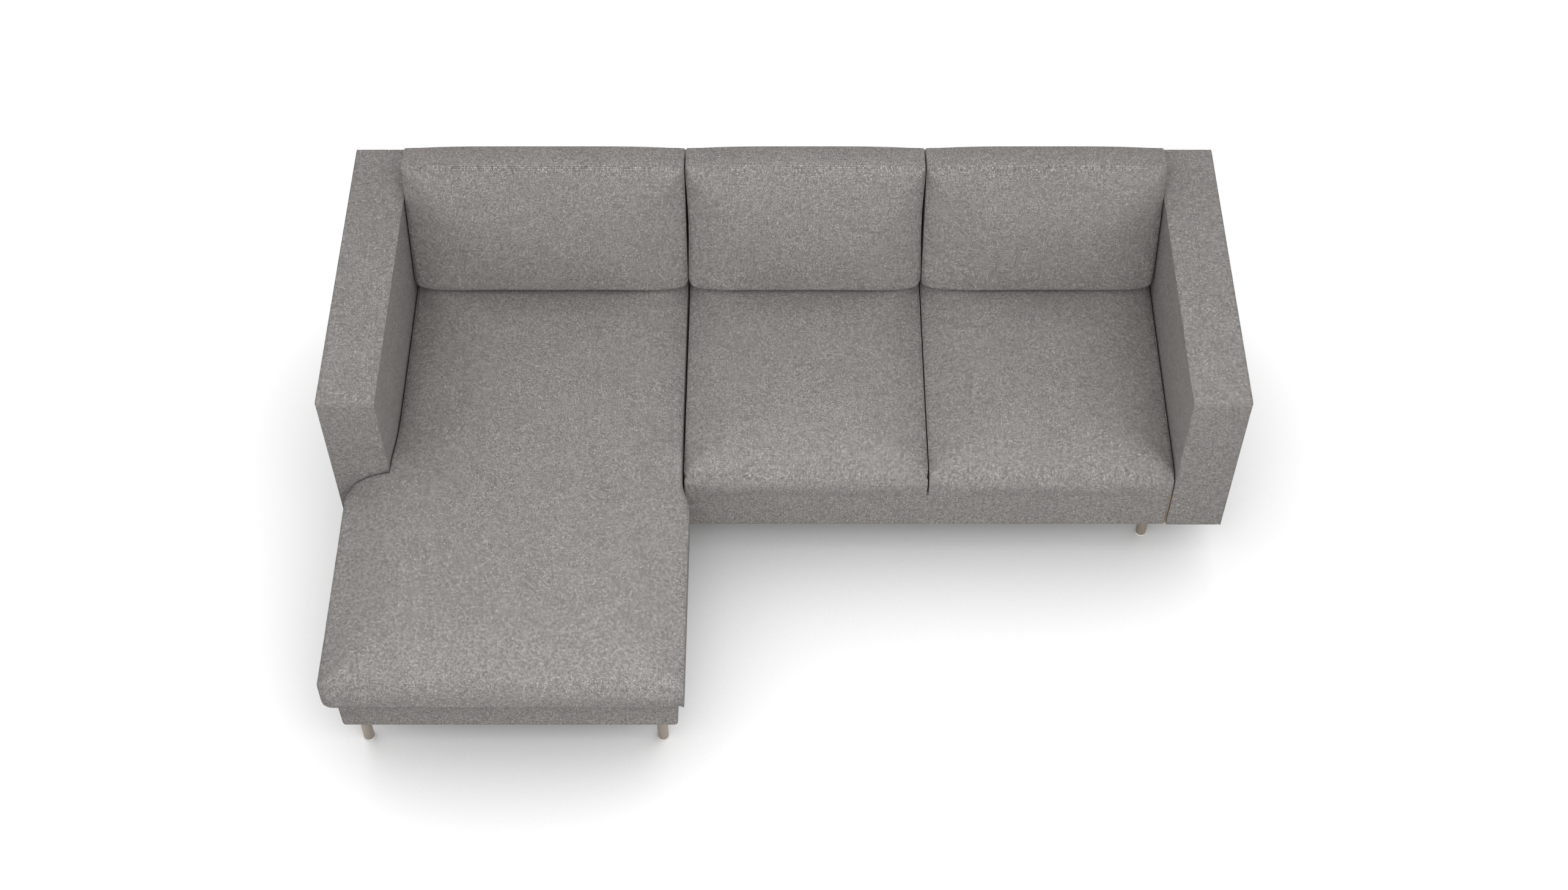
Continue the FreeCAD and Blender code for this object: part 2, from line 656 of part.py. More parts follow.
def legs(section, blocks, rear, frame):
    places = blocks + rear
    bores = group(
        f"{section}_leg_bores",
        [
            rods(f"{section}_tube_bores", "leg_radius - leg_wall", places, ("glide_flange", stud_low)),
            rods(f"{section}_cap_holes", "stud_radius + stud_clearance", places, (stud_low, leg_top)),
        ],
    )
    tubes = rods(f"{section}_leg_tubes", "leg_radius", places, ("glide_flange", leg_top))
    keep(cut(f"{section}_legs", tubes, bores), f"{section}_legs")

    flange = rods(f"{section}_flanges", "leg_radius + glide_lip", places, ("0", "glide_flange"))
    plug_z = ("glide_flange", "glide_flange + glide_plug")
    plug = rods(f"{section}_plugs", "leg_radius - leg_wall - plug_clearance", places, plug_z)
    glides = doc.addObject("Part::Fuse", f"{section}_glides")
    glides.Base = flange
    glides.Tool = plug
    keep(glides, f"{section}_glides")

    keep(rods(f"{section}_leg_studs", "stud_radius", places, (stud_low, stud_high)), f"{section}_leg_studs")

    heads_z = (leg_top, f"{leg_top} + screw_head_depth")
    shanks_z = (heads_z[1], f"{leg_top} + screw_length")
    shanks = rods(f"{section}_shanks", "screw_radius", around(places), shanks_z)
    heads = rods(f"{section}_heads", "screw_head_radius", around(places), heads_z)
    screws = doc.addObject("Part::Fuse", f"{section}_plate_screws")
    screws.Base = heads
    screws.Tool = shanks
    keep(screws, f"{section}_plate_screws")

    sinks = rods(f"{section}_head_sinks", "screw_head_radius + stud_clearance", around(places), heads_z)
    through = holes(f"{section}_plate", places, leg_top)
    plates = squares(f"{section}_plate_blanks", "plate_size / 2", places, (leg_top, plate_top))
    plate_tools = group(f"{section}_plate_tools", through + [sinks])
    keep(cut(f"{section}_leg_plates", plates, plate_tools), f"{section}_leg_plates")

    blocks_z = (leg_top, f"{leg_top} + block_height")
    timber = squares(f"{section}_block_blanks", block_half, blocks, blocks_z)
    recess = squares(f"{section}_recess", "plate_size / 2", places, (leg_top, plate_top))
    tools = group(f"{section}_timber_tools", [recess] + holes(f"{section}_timber", places, plate_top))
    keep(cut(f"{section}_leg_blocks", timber, tools), f"{section}_leg_blocks")
    keep(cut(f"{section}_back_frame", frame, tools), f"{section}_back_frame")


legs("chaise", CHAISE_BLOCKS, CHAISE_REAR, chaise_back)
legs("loveseat", LOVESEAT_BLOCKS, LOVESEAT_REAR, loveseat_back)

# Dust cloths under each section, with a hole at every leg


def dust_cloth(section, outline, places):
    low = "leg_height - dust_thickness"
    sheet_body = slab(f"{section}_dust_sheet", outline, (low, "leg_height"))
    openings = rods(f"{section}_dust_holes", "leg_radius + dust_clearance", places, (low, "leg_height"))
    keep(cut(f"{section}_dust_cloth", sheet_body, openings), f"{section}_dust_cloth")


inset = "dust_inset"
rear_edge = f"{rear_y} - {inset}"
sheet_left, sheet_right = f"{chaise_left_x} + {inset}", f"{chaise_right_x} - {inset}"
sheet_front, sheet_step = f"{chaise_front_y} + {inset}", f"{arm_front_y} + {inset}"
arm_side = f"0 - {outer_x} + {inset}"
chaise_sheet = [(sheet_left, sheet_front), (sheet_right, sheet_front), (sheet_right, rear_edge)]
chaise_sheet += [(arm_side, rear_edge), (arm_side, sheet_step), (sheet_left, sheet_step)]
dust_cloth("chaise", chaise_sheet, CHAISE_BLOCKS + CHAISE_REAR)
loveseat_sheet = corners_of(
    (f"{loveseat_left_x} + {inset}", f"{outer_x} - {inset}"),
    (f"{base_front_y} + {inset}", rear_edge),
)
dust_cloth("loveseat", loveseat_sheet, LOVESEAT_BLOCKS + LOVESEAT_REAR)

# Connectors: the chaise's stepped hooks carry a pin each, and the loveseat's plates drop over them

hook_top = "(leg_height - dust_thickness)"
hook_low = f"({hook_top} - hook_thickness)"
shelf_top = f"({hook_low} - hook_clearance)"
shelf_low = f"({shelf_top} - hook_thickness)"
pin_x = f"({loveseat_left_x} + hook_reach / 2)"
HOOK_PLACES = (f"{base_front_y} + hook_setback", f"{rear_y} - hook_setback")


def hook(index, y):
    """A stepped steel plate under the chaise's edge, its shelf reaching under the loveseat."""
    left = f"({chaise_right_x} - hook_reach)"
    body = new_body(f"hook_{index}", left, f"{y} + hook_width / 2", shelf_low)
    step, end = "hook_reach", f"({loveseat_left_x} + hook_reach - ({left}))"
    riser = "hook_reach - hook_thickness"
    under = f"{hook_low} - {shelf_low}"
    upper = f"{hook_top} - {shelf_low}"
    points = [("0", under), (riser, under), (riser, "0"), (end, "0"), (end, "hook_thickness")]
    points += [(step, "hook_thickness"), (step, upper), ("0", upper)]
    pad(body, polygon(body, f"hook_side_{index}", "XZ_Plane", points), "hook_width")
    pin = rod(f"hook_pin_{index}", "hook_pin_radius", pin_x, y, (shelf_top, f"{hook_top} - hook_clearance"))
    joined = doc.addObject("Part::Fuse", f"hook_with_pin_{index}")
    joined.Base = body
    joined.Tool = pin
    return joined


def catch(index, y):
    """A flat steel plate under the loveseat's edge with a hole for the pin."""
    plate = box(
        f"catch_{index}",
        (loveseat_left_x, f"{loveseat_left_x} + hook_reach"),
        (f"{y} - hook_width / 2", f"{y} + hook_width / 2"),
        (hook_low, hook_top),
    )
    hole = rod(f"catch_hole_{index}", "hook_pin_radius + hook_clearance", pin_x, y, (hook_low, hook_top))
    return cut(f"catch_plate_{index}", plate, hole)


hooks = [hook(i, y) for i, y in enumerate(HOOK_PLACES)]
catches = [catch(i, y) for i, y in enumerate(HOOK_PLACES)]
keep(group("chaise_connectors", hooks), "chaise_connectors")
keep(group("loveseat_connectors", catches), "loveseat_connectors")

# Cushions: a crowned fabric cover with drawn-in sides around a foam core of the same form

# Levels that make a cushion's rounded foot and its crown, and the most of a side that a corner takes
FOOT_STEPS = 3
CROWN_STEPS = 8
CORNER_SHARE = 0.45


def offset_corners(corners, inset):
    """The corners of a square-cornered outline, listed anticlockwise, moved in by inset."""
    moved = []
    for index, here in enumerate(corners):
        before, after = corners[index - 1], corners[(index + 1) % len(corners)]
        inward = vector(0, 0)
        for start, end in ((before, here), (here, after)):
            run = (end - start).normalize()
            inward += vector(-run.y, run.x)
        moved.append(here + inward * inset)
    return moved


def cushion_wire(corners, inset, level, roundness, notch, draw):
    """One level of a cushion: sides as shallow arcs drawn in at their middles, corners as quarter turns."""
    points = offset_corners(corners, inset)
    count = len(points)
    sides = [points[(i + 1) % count] - points[i] for i in range(count)]
    runs = [vector(side.x, side.y).normalize() for side in sides]
    radii = []
    for i in range(count):
        wanted = roundness if runs[i - 1].cross(runs[i]).z > 0 else notch
        shorter = min(sides[i - 1].Length, sides[i].Length)
        radii.append(min(wanted, CORNER_SHARE * shorter))
    lift = vector(0, 0, level)
    edges = []
    for i in range(count):
        back_off, ahead = runs[i - 1] * -radii[i], runs[i] * radii[i]
        corner = points[i] + lift
        bend = corner + (back_off + ahead) * (1 - math.sqrt(0.5))
        edges.append(Part.Arc(corner + back_off, bend, corner + ahead).toShape())
        following = (i + 1) % count
        start, end = points[i] + ahead, points[following] - runs[i] * radii[following]
        pull = draw * min(1.0, (end - start).Length / number("full_draw_side"))
        middle = (start + end) * 0.5 + vector(-runs[i].y, runs[i].x) * pull
        edges.append(Part.Arc(start + lift, middle + lift, end + lift).toShape())
    return Part.Wire(edges)


def cushion_form(corners_at, form, margin):
    """A closed cushion, drawn in everywhere by a margin; corners_at gives its outline at a height."""
    wall, crown, reach = (number(f"{form}_{size}") for size in ("wall", "crown", "reach"))
    foot, corner, draw = (number(f"{form}_{size}") for size in ("foot_round", "corner", "draw"))
    levels = []
    for step in range(FOOT_STEPS + 1):
        turn = math.radians(90 * step / FOOT_STEPS)
        level = foot - (foot - margin) * math.cos(turn)
        levels.append((level, foot - (foot - margin) * math.sin(turn)))
    for step in range(CROWN_STEPS + 1):
        turn = math.radians(90 * step / CROWN_STEPS)
        level = wall + (crown - margin) * math.sin(turn)
        levels.append((level, margin + (reach - margin) * (1 - math.cos(turn))))
    wires = []
    for level, inset in levels:
        softer = number("corner_softening") * inset
        roundness = corner - margin + softer
        notch = number("notch_round") + softer
        wires.append(cushion_wire(corners_at(level), inset, level, roundness, notch, draw))
    return Part.makeLoft(wires, True, True)


def cushion(label, corners_at, form, place):
    """The cover and the core of one cushion, both set at the same place."""
    outer = cushion_form(corners_at, form, 0.0)
    skin = number("cover_thickness")
    lining = cushion_form(corners_at, form, skin)
    core = cushion_form(corners_at, form, skin + number("core_clearance"))
    cover = Part.makeSolid(Part.Compound([outer.Shells[0], lining.Shells[0].reversed()]))
    for part, shape in (("cover", cover), ("core", core)):
        item = doc.addObject("Part::Feature", f"{label}_{part}")
        item.Shape = shape
        item.Placement = place
        keep(item, f"{label}_{part}")
    placed = outer.copy()
    placed.Placement = place
    return placed


def corner_list(points):
    return [vector(number(x), number(y)) for x, y in points]


seat_front = f"({arm_front_y} + seat_front_setback)"
seat_rear = f"({back_foot_y} - seat_rear_gap)"
chaise_cushion_left = f"({chaise_left_x} - chaise_side_overhang)"
chaise_cushion_right = f"({joint_x} + chaise_inner_overhang)"
chaise_cushion_front = f"({chaise_front_y} - chaise_overhang)"
seat_notch = f"({arm_front_y} - seat_gap_front)"
inner_right = f"({joint_x} - cushion_gap)"
seat_left_x = f"({joint_x} + cushion_gap)"
seat_right_x = f"({arm_inner_x} - cushion_gap)"

chaise_seat = corner_list(
    (
        (chaise_cushion_left, chaise_cushion_front),
        (chaise_cushion_right, chaise_cushion_front),
        (chaise_cushion_right, seat_notch),
        (inner_right, seat_notch),
        (inner_right, seat_rear),
        (f"{chaise_inner_x} + cushion_gap", seat_rear),
        (f"{chaise_inner_x} + cushion_gap", seat_notch),
        (chaise_cushion_left, seat_notch),
    )
)
SEATS = {
    "chaise_seat": chaise_seat,
    "middle_seat": corner_list(
        (
            (seat_left_x, seat_front),
            ("seat_split - cushion_gap / 2", seat_front),
            ("seat_split - cushion_gap / 2", seat_rear),
            (seat_left_x, seat_rear),
        )
    ),
    "right_seat": corner_list(
        (
            ("seat_split + cushion_gap / 2", seat_front),
            (seat_right_x, seat_front),
            (seat_right_x, seat_rear),
            ("seat_split + cushion_gap / 2", seat_rear),
        )
    ),
}
seat_floor = number(f"{base_top} + seat_clearance")
forms = {}
for label, corners in SEATS.items():
    place = FreeCAD.Placement(vector(0, 0, seat_floor), FreeCAD.Rotation())
    forms[label] = cushion(label, lambda level, points=corners: points, "seat", place)

# Back cushions lean on the backs and stand on the seats, with a level underside

lean = math.radians(number("back_lean"))
BACKS = {
    "left_back": (f"{chaise_inner_x} + cushion_gap", f"{joint_x} - cushion_gap / 2", "chaise_seat"),
    "middle_back": (f"{joint_x} + cushion_gap / 2", "seat_split - cushion_gap / 2", "middle_seat"),
    "right_back": ("seat_split + cushion_gap / 2", f"{arm_inner_x} - cushion_gap", "right_seat"),
}


def top_of_seat(seat, left, right, front_y, rear_y):
    """The highest point of a seat cushion inside a strip seen from above."""
    corner = vector(left, front_y)
    strip = Part.makeBox(right - left, rear_y - front_y, number("arm_height"), corner)
    return forms[seat].common(strip).BoundBox.ZMax


def back_cushion(label, left, right, seat):
    foot_y = number(back_foot_y)
    front_y = foot_y - number("back_wall + back_crown")
    seat_top = top_of_seat(seat, left, right, front_y, foot_y + number("seat_rear_gap"))
    stands_at = seat_top + number("seat_clearance")
    slope_y = foot_y + (stands_at - number(base_top)) * math.tan(lean)
    slope_y -= number("seat_clearance") / math.cos(lean)
    height = (number("back_cushion_top") - stands_at) / math.cos(lean)
    half = (right - left) / 2

    def outline(level):
        """The cushion's outline at a level of its thickness, its underside kept level on the seat."""
        drop = level * math.tan(lean)
        return [vector(-half, -drop), vector(half, -drop), vector(half, height), vector(-half, height)]

    tilt = FreeCAD.Rotation(vector(1, 0, 0), 90 - number("back_lean"))
    place = FreeCAD.Placement(vector((right + left) / 2, slope_y, stands_at), tilt)
    cushion(f"{label}_cushion", outline, "back", place)


for label, (left, right, seat) in BACKS.items():
    back_cushion(label, number(left), number(right), seat)

# Checks, then one file for each sub-part

doc.recompute()
for item in doc.Objects:
    if "Invalid" in item.State or "Error" in item.State:
        raise ValueError(f"{item.Label} has failed: {item.State}")
labels = [item.Label for item in nodes]
if len(set(labels)) != len(labels):
    raise ValueError("two sub-parts share a name")
for item in nodes:
    if item.Shape.isNull() or not item.Shape.isValid() or not item.Shape.Solids:
        raise ValueError(f"{item.Label} is not a valid solid")
    item.Shape.exportStep(f"parts/{item.Label}.step")
print(len(nodes), "sub-parts")
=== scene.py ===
"""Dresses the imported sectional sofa: fabric covers, sewn cushions, cloths, hard finishes and a pale studio.

Laid out as a Blender add-on and run as a script. Lengths are in metres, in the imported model's own frame.
"""

import math

import bpy
import numpy as np
from bpy.props import FloatProperty, FloatVectorProperty, IntProperty, PointerProperty
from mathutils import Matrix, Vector
from mathutils.geometry import delaunay_2d_cdt
from mathutils.kdtree import KDTree


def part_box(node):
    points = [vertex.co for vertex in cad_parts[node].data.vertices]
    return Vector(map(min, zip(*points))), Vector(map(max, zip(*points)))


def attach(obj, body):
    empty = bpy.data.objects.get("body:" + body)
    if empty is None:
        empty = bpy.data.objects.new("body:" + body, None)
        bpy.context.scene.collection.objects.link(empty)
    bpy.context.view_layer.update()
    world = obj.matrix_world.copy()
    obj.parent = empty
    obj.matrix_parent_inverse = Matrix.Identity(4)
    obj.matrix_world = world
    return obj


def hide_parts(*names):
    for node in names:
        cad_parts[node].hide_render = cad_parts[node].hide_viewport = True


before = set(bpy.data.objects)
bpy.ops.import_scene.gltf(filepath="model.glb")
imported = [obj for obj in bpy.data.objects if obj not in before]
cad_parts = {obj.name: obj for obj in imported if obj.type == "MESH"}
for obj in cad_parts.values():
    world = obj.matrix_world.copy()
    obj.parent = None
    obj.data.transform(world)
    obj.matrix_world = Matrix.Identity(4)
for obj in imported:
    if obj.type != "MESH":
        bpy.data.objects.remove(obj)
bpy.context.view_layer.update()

bl_info = {
    "name": "Sectional sofa dressing",
    "version": (1, 0, 0),
    "blender": (4, 5, 0),
    "location": "3D View > Sidebar > Sofa",
    "description": "Fabric covers, cushions, finishes and studio for the sectional sofa with chaise",
    "category": "Object",
}

MM = 0.001
WEAVE = "Weave"
SEATS = ("chaise_seat", "middle_seat", "right_seat")
BACKS = ("left_back_cushion", "middle_back_cushion", "right_back_cushion")
SECTIONS = ("chaise", "loveseat")
FABRICS = COVER, CUSHION, SEAM = "Woven tweed cover", "Woven tweed cushion", "Sewn seam"
LINING = "Black spun-bonded lining"


# Shapes


def box(node):
    """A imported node's lowest and highest corner as arrays."""
    low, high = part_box(node)
    return np.array(low), np.array(high)


def without_corner(low, high, at, lower=True):
    """A rectangle's outline whose left side steps at a point: in its rear part, or in its front part."""
    left, notch = at
    if lower:
        return np.array([low, (high[0], low[1]), high, (left, high[1]), (left, notch), (low[0], notch)])
    return np.array([(left, low[1]), (high[0], low[1]), high, (low[0], high[1]), (low[0], notch), (left, notch)])


def rectangle(left, front, right, rear):
    return np.array([(left, front), (right, front), (right, rear), (left, rear)])


def grid_lines(marks, step, near):
    """Lines through every mark, closer together beside each one and about a step apart elsewhere."""
    marks = sorted(set(marks))
    found = []
    for low, high in zip(marks, marks[1:]):
        close = [n for n in near if n < (high - low) * 0.4]
        start = [low, *(low + n for n in close)]
        end = [*(high - n for n in reversed(close)), high]
        count = max(1, round((end[0] - start[-1]) / step))
        found += [*start, *np.linspace(start[-1], end[0], count + 1)[1:-1], *end]
    return np.unique(np.round(found, 6))


def sides(outline):
    return list(zip(outline, np.roll(outline, -1, axis=0)))


def is_inside(points, outline):
    """Whether each point lies inside the outline."""
    odd = np.zeros(len(points), bool)
    for a, b in sides(outline):
        spans = (a[1] > points[:, 1]) != (b[1] > points[:, 1])
        if a[1] != b[1]:
            cross = a[0] + (points[:, 1] - a[1]) * (b[0] - a[0]) / (b[1] - a[1])
            odd ^= spans & (points[:, 0] < cross)
    return odd


def insets(points, outline):
    """How far in from the outline each point lies, the way that leads further in, and its distance from each side.

    Distances are measured squarely, so rings round a corner stay square.
    """
    best = np.full(len(points), np.inf)
    way = np.zeros((len(points), 2))
    gaps = []
    for a, b in sides(outline):
        length = np.linalg.norm(b - a)
        along = (b - a) / length
        normal = np.array((-along[1], along[0]))
        run = (points - a) @ along
        off = (points - a) @ normal
        over = np.maximum(0, np.maximum(-run, run - length))
        gap = np.maximum(np.abs(off), over)
        turn = np.zeros((len(points), 2))
        turn += np.where(np.abs(off) >= over - 1e-9, np.where(off < -1e-9, -1, 1), 0)[:, None] * normal
        turn += np.where((over > 0) & (over >= np.abs(off) - 1e-9), np.where(run < 0, -1, 1), 0)[:, None] * along
        nearer = gap < best - 1e-7
        level = np.abs(gap - best) <= 1e-7
        way[nearer] = turn[nearer]
        way[level] = np.clip(way[level] + turn[level], -1, 1)
        best = np.minimum(best, gap)
        gaps.append(gap)
    return best, way, np.array(gaps)


def soft_least(values):
    """The least of several positive numbers, eased where two are alike."""
    return (np.maximum(values, 1e-5) ** -4.0).sum(0) ** -0.25


def outer_corners(outline):
    """The outline's outward corners, each with the way that leads inside."""
    found = []
    for before, at, after in zip(np.roll(outline, 1, axis=0), outline, np.roll(outline, -1, axis=0)):
        come, go = at - before, after - at
        if come[0] * go[1] - come[1] * go[0] > 0:
            found.append((at, np.sign(go - come)))
    return found


def rounded(a, b):
    """A square ring's offsets a and b bent onto a round one, where both are positive."""
    a, b = np.maximum(a, 0), np.maximum(b, 0)
    length = np.maximum(np.hypot(a, b), 1e-12)
    share = np.maximum(a, b) / length
    both = (a > 0) & (b > 0)
    return np.where(both, a * share, a), np.where(both, b * share, b)


def ripple(x, y, size, seed):
    """Gentle waves without a direction, from -1 to 1, about one size apart."""
    total = np.zeros_like(x)
    for k in range(5):
        angle = 1.9 * k + 0.7 * seed
        pitch = 2 * math.pi / (size * (0.75 + 0.19 * k))
        total += np.sin((x * math.cos(angle) + y * math.sin(angle)) * pitch + 2.3 * k * seed + seed)
    return total / 5


class Block:
    """A closed block of quads over a plan outline, with its bottom at 0, walls up to its height, and a top."""

    def __init__(self, outline, height, step, near, levels):
        self.outline, self.height = np.asarray(outline, float), height
        self.xs = grid_lines(self.outline[:, 0], step, near)
        self.ys = grid_lines(self.outline[:, 1], step, near)
        self.levels = np.asarray(levels, float)
        self.make_points()
        self.make_faces()
        self.inset, self.way, self.gaps = insets(self.plan, self.outline)

    def make_points(self):
        nx, ny = len(self.xs), len(self.ys)
        middle_xs, middle_ys = ((marks[1:] + marks[:-1]) / 2 for marks in (self.xs, self.ys))
        middles = np.stack(np.meshgrid(middle_xs, middle_ys, indexing="ij"), -1)
        self.cells = is_inside(middles.reshape(-1, 2), self.outline).reshape(nx - 1, ny - 1)
        around = np.zeros((nx, ny), int)
        for i in (0, 1):
            for j in (0, 1):
                around[i : nx - 1 + i, j : ny - 1 + j] += self.cells
        used, rim = around > 0, (around > 0) & (around < 4)
        self.spots = {}
        points, zone = [], []
        last = len(self.levels) - 1
        for k, z in enumerate(self.levels):
            here = used if k in (0, last) else rim
            for i, j in zip(*np.nonzero(here)):
                self.spots[i, j, k] = len(points)
                points.append((self.xs[i], self.ys[j], z))
                zone.append(1 if rim[i, j] else (0 if k == 0 else 2))
        self.points = np.array(points)
        self.plan = self.points[:, :2].copy()
        self.zone = np.array(zone)

    def make_faces(self):
        faces, panels = [], []
        last = len(self.levels) - 1
        spot = self.spots
        cells = self.cells

        def filled(i, j):
            return 0 <= i < cells.shape[0] and 0 <= j < cells.shape[1] and cells[i, j]

        for i, j in zip(*np.nonzero(cells)):
            ring = [(i, j), (i + 1, j), (i + 1, j + 1), (i, j + 1)]
            faces.append([spot[p[0], p[1], last] for p in ring])
            panels.append("top")
            faces.append([spot[p[0], p[1], 0] for p in reversed(ring)])
            panels.append("bottom")
            steps = {"front": (0, -1), "right": (1, 0), "rear": (0, 1), "left": (-1, 0)}
            for a, b, (panel, step) in zip(ring, ring[1:] + ring[:1], steps.items()):
                if not filled(i + step[0], j + step[1]):
                    for k in range(last):
                        corners = ((*a, k), (*b, k), (*b, k + 1), (*a, k + 1))
                        faces.append([spot[c] for c in corners])
                        panels.append(panel)
        self.faces, self.panels = np.array(faces), panels

    def rounded_plan(self, radius):
        """The plan with its outward corners rounded, and the way further in."""
        plan, way = self.plan.copy(), self.way.copy()
        for corner, inward in outer_corners(self.outline):
            centre = corner + inward * radius
            away = (centre - self.plan) * inward
            inside = (away > 1e-9).all(1) & (away < radius + 1e-9).all(1)
            a, b = rounded(away[:, 0], away[:, 1])
            bent = np.stack((a, b), 1)
            length = np.maximum(np.linalg.norm(bent, axis=1), 1e-9)[:, None]
            plan[inside] = (centre - bent * inward)[inside]
            way[inside] = (bent * inward / length)[inside]
        return plan, way

    def corner_gap(self):
        """How far each point is from the nearest outward corner."""
        corners = outer_corners(self.outline)
        return np.min([np.linalg.norm(self.plan - corner, axis=1) for corner, _ in corners], axis=0)

    def weave(self, fold=(), shift=0.0):
        """Cloth coordinates for every face corner. The panels in fold carry on from the top without a seam."""
        at = self.points[self.faces]
        x, y, z = at[..., 0], at[..., 1], at[..., 2]
        drop = self.levels[-1] - z
        flat = np.stack((x, y), -1)
        for panel in set(self.panels):
            mine = np.array([p == panel for p in self.panels])
            if panel in ("front", "rear"):
                side = -1 if panel == "front" else 1
                v = y + side * drop if panel in fold else z + 0.37 * (side + 2)
                flat[mine] = np.stack((x, v), -1)[mine]
            elif panel in ("left", "right"):
                side = -1 if panel == "left" else 1
                if panel in fold:
                    flat[mine] = np.stack((x + side * drop, y), -1)[mine]
                else:
                    flat[mine] = np.stack((y, z + 0.53 * (side + 2)), -1)[mine]
        return flat + np.array((shift, shift * 0.61))

    def rim(self, level, start, end):
        """Wall points along one straight side of the outline at a level, from one plan point to another."""
        start, end = np.array(start), np.array(end)
        length = np.linalg.norm(end - start)
        along = (end - start) / length
        found = []
        for (i, j, k), spot in self.spots.items():
            if k == level:
                rel = self.plan[spot] - start
                run = rel @ along
                if -1e-6 <= run <= length + 1e-6 and abs(rel[0] * along[1] - rel[1] * along[0]) < 1e-6:
                    found.append((run, spot))
        return [spot for _, spot in sorted(found)]

    def rims(self):
        """The top edge's wall points along every side."""
        return [self.rim(len(self.levels) - 1, a, b) for a, b in sides(self.outline)]

    def upright(self, at):
        """Wall points from the bottom to the top at one plan corner."""
        i = int(np.argmin(abs(self.xs - at[0])))
        j = int(np.argmin(abs(self.ys - at[1])))
        return [self.spots[i, j, k] for k in range(len(self.levels))]


def new_piece(name, points, faces, weave=None):
    """A mesh object from points, faces and the cloth coordinates of every face corner."""
    mesh = bpy.data.meshes.new(name)
    mesh.from_pydata([tuple(map(float, p)) for p in points], [], [tuple(map(int, f)) for f in faces])
    if weave is not None:
        layer = mesh.uv_layers.new(name=WEAVE)
        layer.uv.foreach_set("vector", np.asarray(weave, np.float32).ravel())
    mesh.polygons.foreach_set("use_smooth", [True] * len(mesh.polygons))
    mesh.update()
    piece = bpy.data.objects.new(name, mesh)
    bpy.context.scene.collection.objects.link(piece)
    return piece


def vectors_of(piece, kind):
    """A piece's vertex vectors of one kind, co or normal, as an array."""
    flat = np.empty(len(piece.data.vertices) * 3, np.float32)
    piece.data.vertices.foreach_get(kind, flat)
    return flat.reshape(-1, 3).astype(float)


def set_points(piece, points):
    piece.data.vertices.foreach_set("co", np.asarray(points, np.float32).ravel())
    piece.data.update()


def subdivide(piece):
    """Applies a subdivision surface. The first vertices stay the ones that were there."""
    bpy.context.view_layer.objects.active = piece
    smooth = piece.modifiers.new("smooth", "SUBSURF")
    smooth.levels = smooth.render_levels = 1
    smooth.boundary_smooth = "PRESERVE_CORNERS"
    bpy.ops.object.modifier_apply(modifier=smooth.name)


def settle(piece, body, material, replaced=()):
    """Gives a piece its body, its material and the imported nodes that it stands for."""
    piece.data.materials.append(material)
    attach(piece, body)
    if replaced:
        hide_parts(*replaced)
    return piece


def even_run(path, spacing):
    """Points an even distance apart along a path, with the path's own fractional index for each."""
    path = np.asarray(path)
    run = np.concatenate(([0], np.cumsum(np.linalg.norm(np.diff(path, axis=0), axis=1))))
    count = max(2, round(run[-1] / spacing) + 1)
    at = np.linspace(0, run[-1], count)
    index = np.interp(at, run, np.arange(len(path)))
    return np.stack([np.interp(at, run, path[:, k]) for k in range(3)], 1), index


def tube(path, normals, radius, around=6):
    """Points, faces and cloth coordinates of a tube along a path, raised on the given normals."""
    path, normals = np.asarray(path), np.asarray(normals)
    tangent = np.gradient(path, axis=0)
    tangent /= np.maximum(np.linalg.norm(tangent, axis=1), 1e-9)[:, None]
    side = np.cross(tangent, normals)
    side /= np.maximum(np.linalg.norm(side, axis=1), 1e-9)[:, None]
    up = np.cross(side, tangent)
    angles = np.linspace(0, 2 * math.pi, around, endpoint=False)
    cosines, sines = np.cos(angles)[None, :, None], np.sin(angles)[None, :, None]
    ring = path[:, None] + radius * (cosines * side[:, None] + sines * up[:, None])
    run = np.concatenate(([0], np.cumsum(np.linalg.norm(np.diff(path, axis=0), axis=1))))
    faces, weave = [], []
    for i in range(len(path) - 1):
        for k in range(around):
            n = (k + 1) % around
            faces.append((i * around + k, i * around + n, (i + 1) * around + n, (i + 1) * around + k))
            v0, v1 = k * radius, (k + 1) * radius
            weave += [(run[i], v0), (run[i], v1), (run[i + 1], v1), (run[i + 1], v0)]
    ends = [list(range(around))[::-1], [(len(path) - 1) * around + k for k in range(around)]]
    caps = [(end[0], a, b) for end in ends for a, b in zip(end[1:], end[2:])]
    weave += [(0, 0)] * (3 * len(caps))
    return ring.reshape(-1, 3), faces + caps, weave


def joined(parts):
    """Several meshes' points, faces and cloth coordinates as one."""
    points, faces, weave, count = [], [], [], 0
    for p, f, w in parts:
        points.append(np.asarray(p))
        faces += [tuple(int(i) + count for i in face) for face in f]
        weave += [tuple(at) for at in np.asarray(w).reshape(-1, 2)]
        count += len(p)
    return np.concatenate(points), faces, weave


STITCH_RUN = 6 * MM


def along_path(values, path, index):
    """A path's vertex vectors read off at fractional places along it."""
    places = np.arange(len(path))
    return np.stack([np.interp(index, places, values[path][:, k]) for k in range(3)], 1)


def sewn_seams(piece, paths, radius, material, body, name):
    """A line of sewn fabric edge along each path of a piece's vertices."""
    points, normals = vectors_of(piece, "co"), vectors_of(piece, "normal")
    parts = []
    for path in paths:
        run, index = even_run(points[path], STITCH_RUN)
        out = along_path(normals, path, index)
        # A quarter of the edge sinks into the cover.
        parts.append(tube(run - out * radius * 0.25, out, radius))
    return settle(new_piece(name, *joined(parts)), body, material)


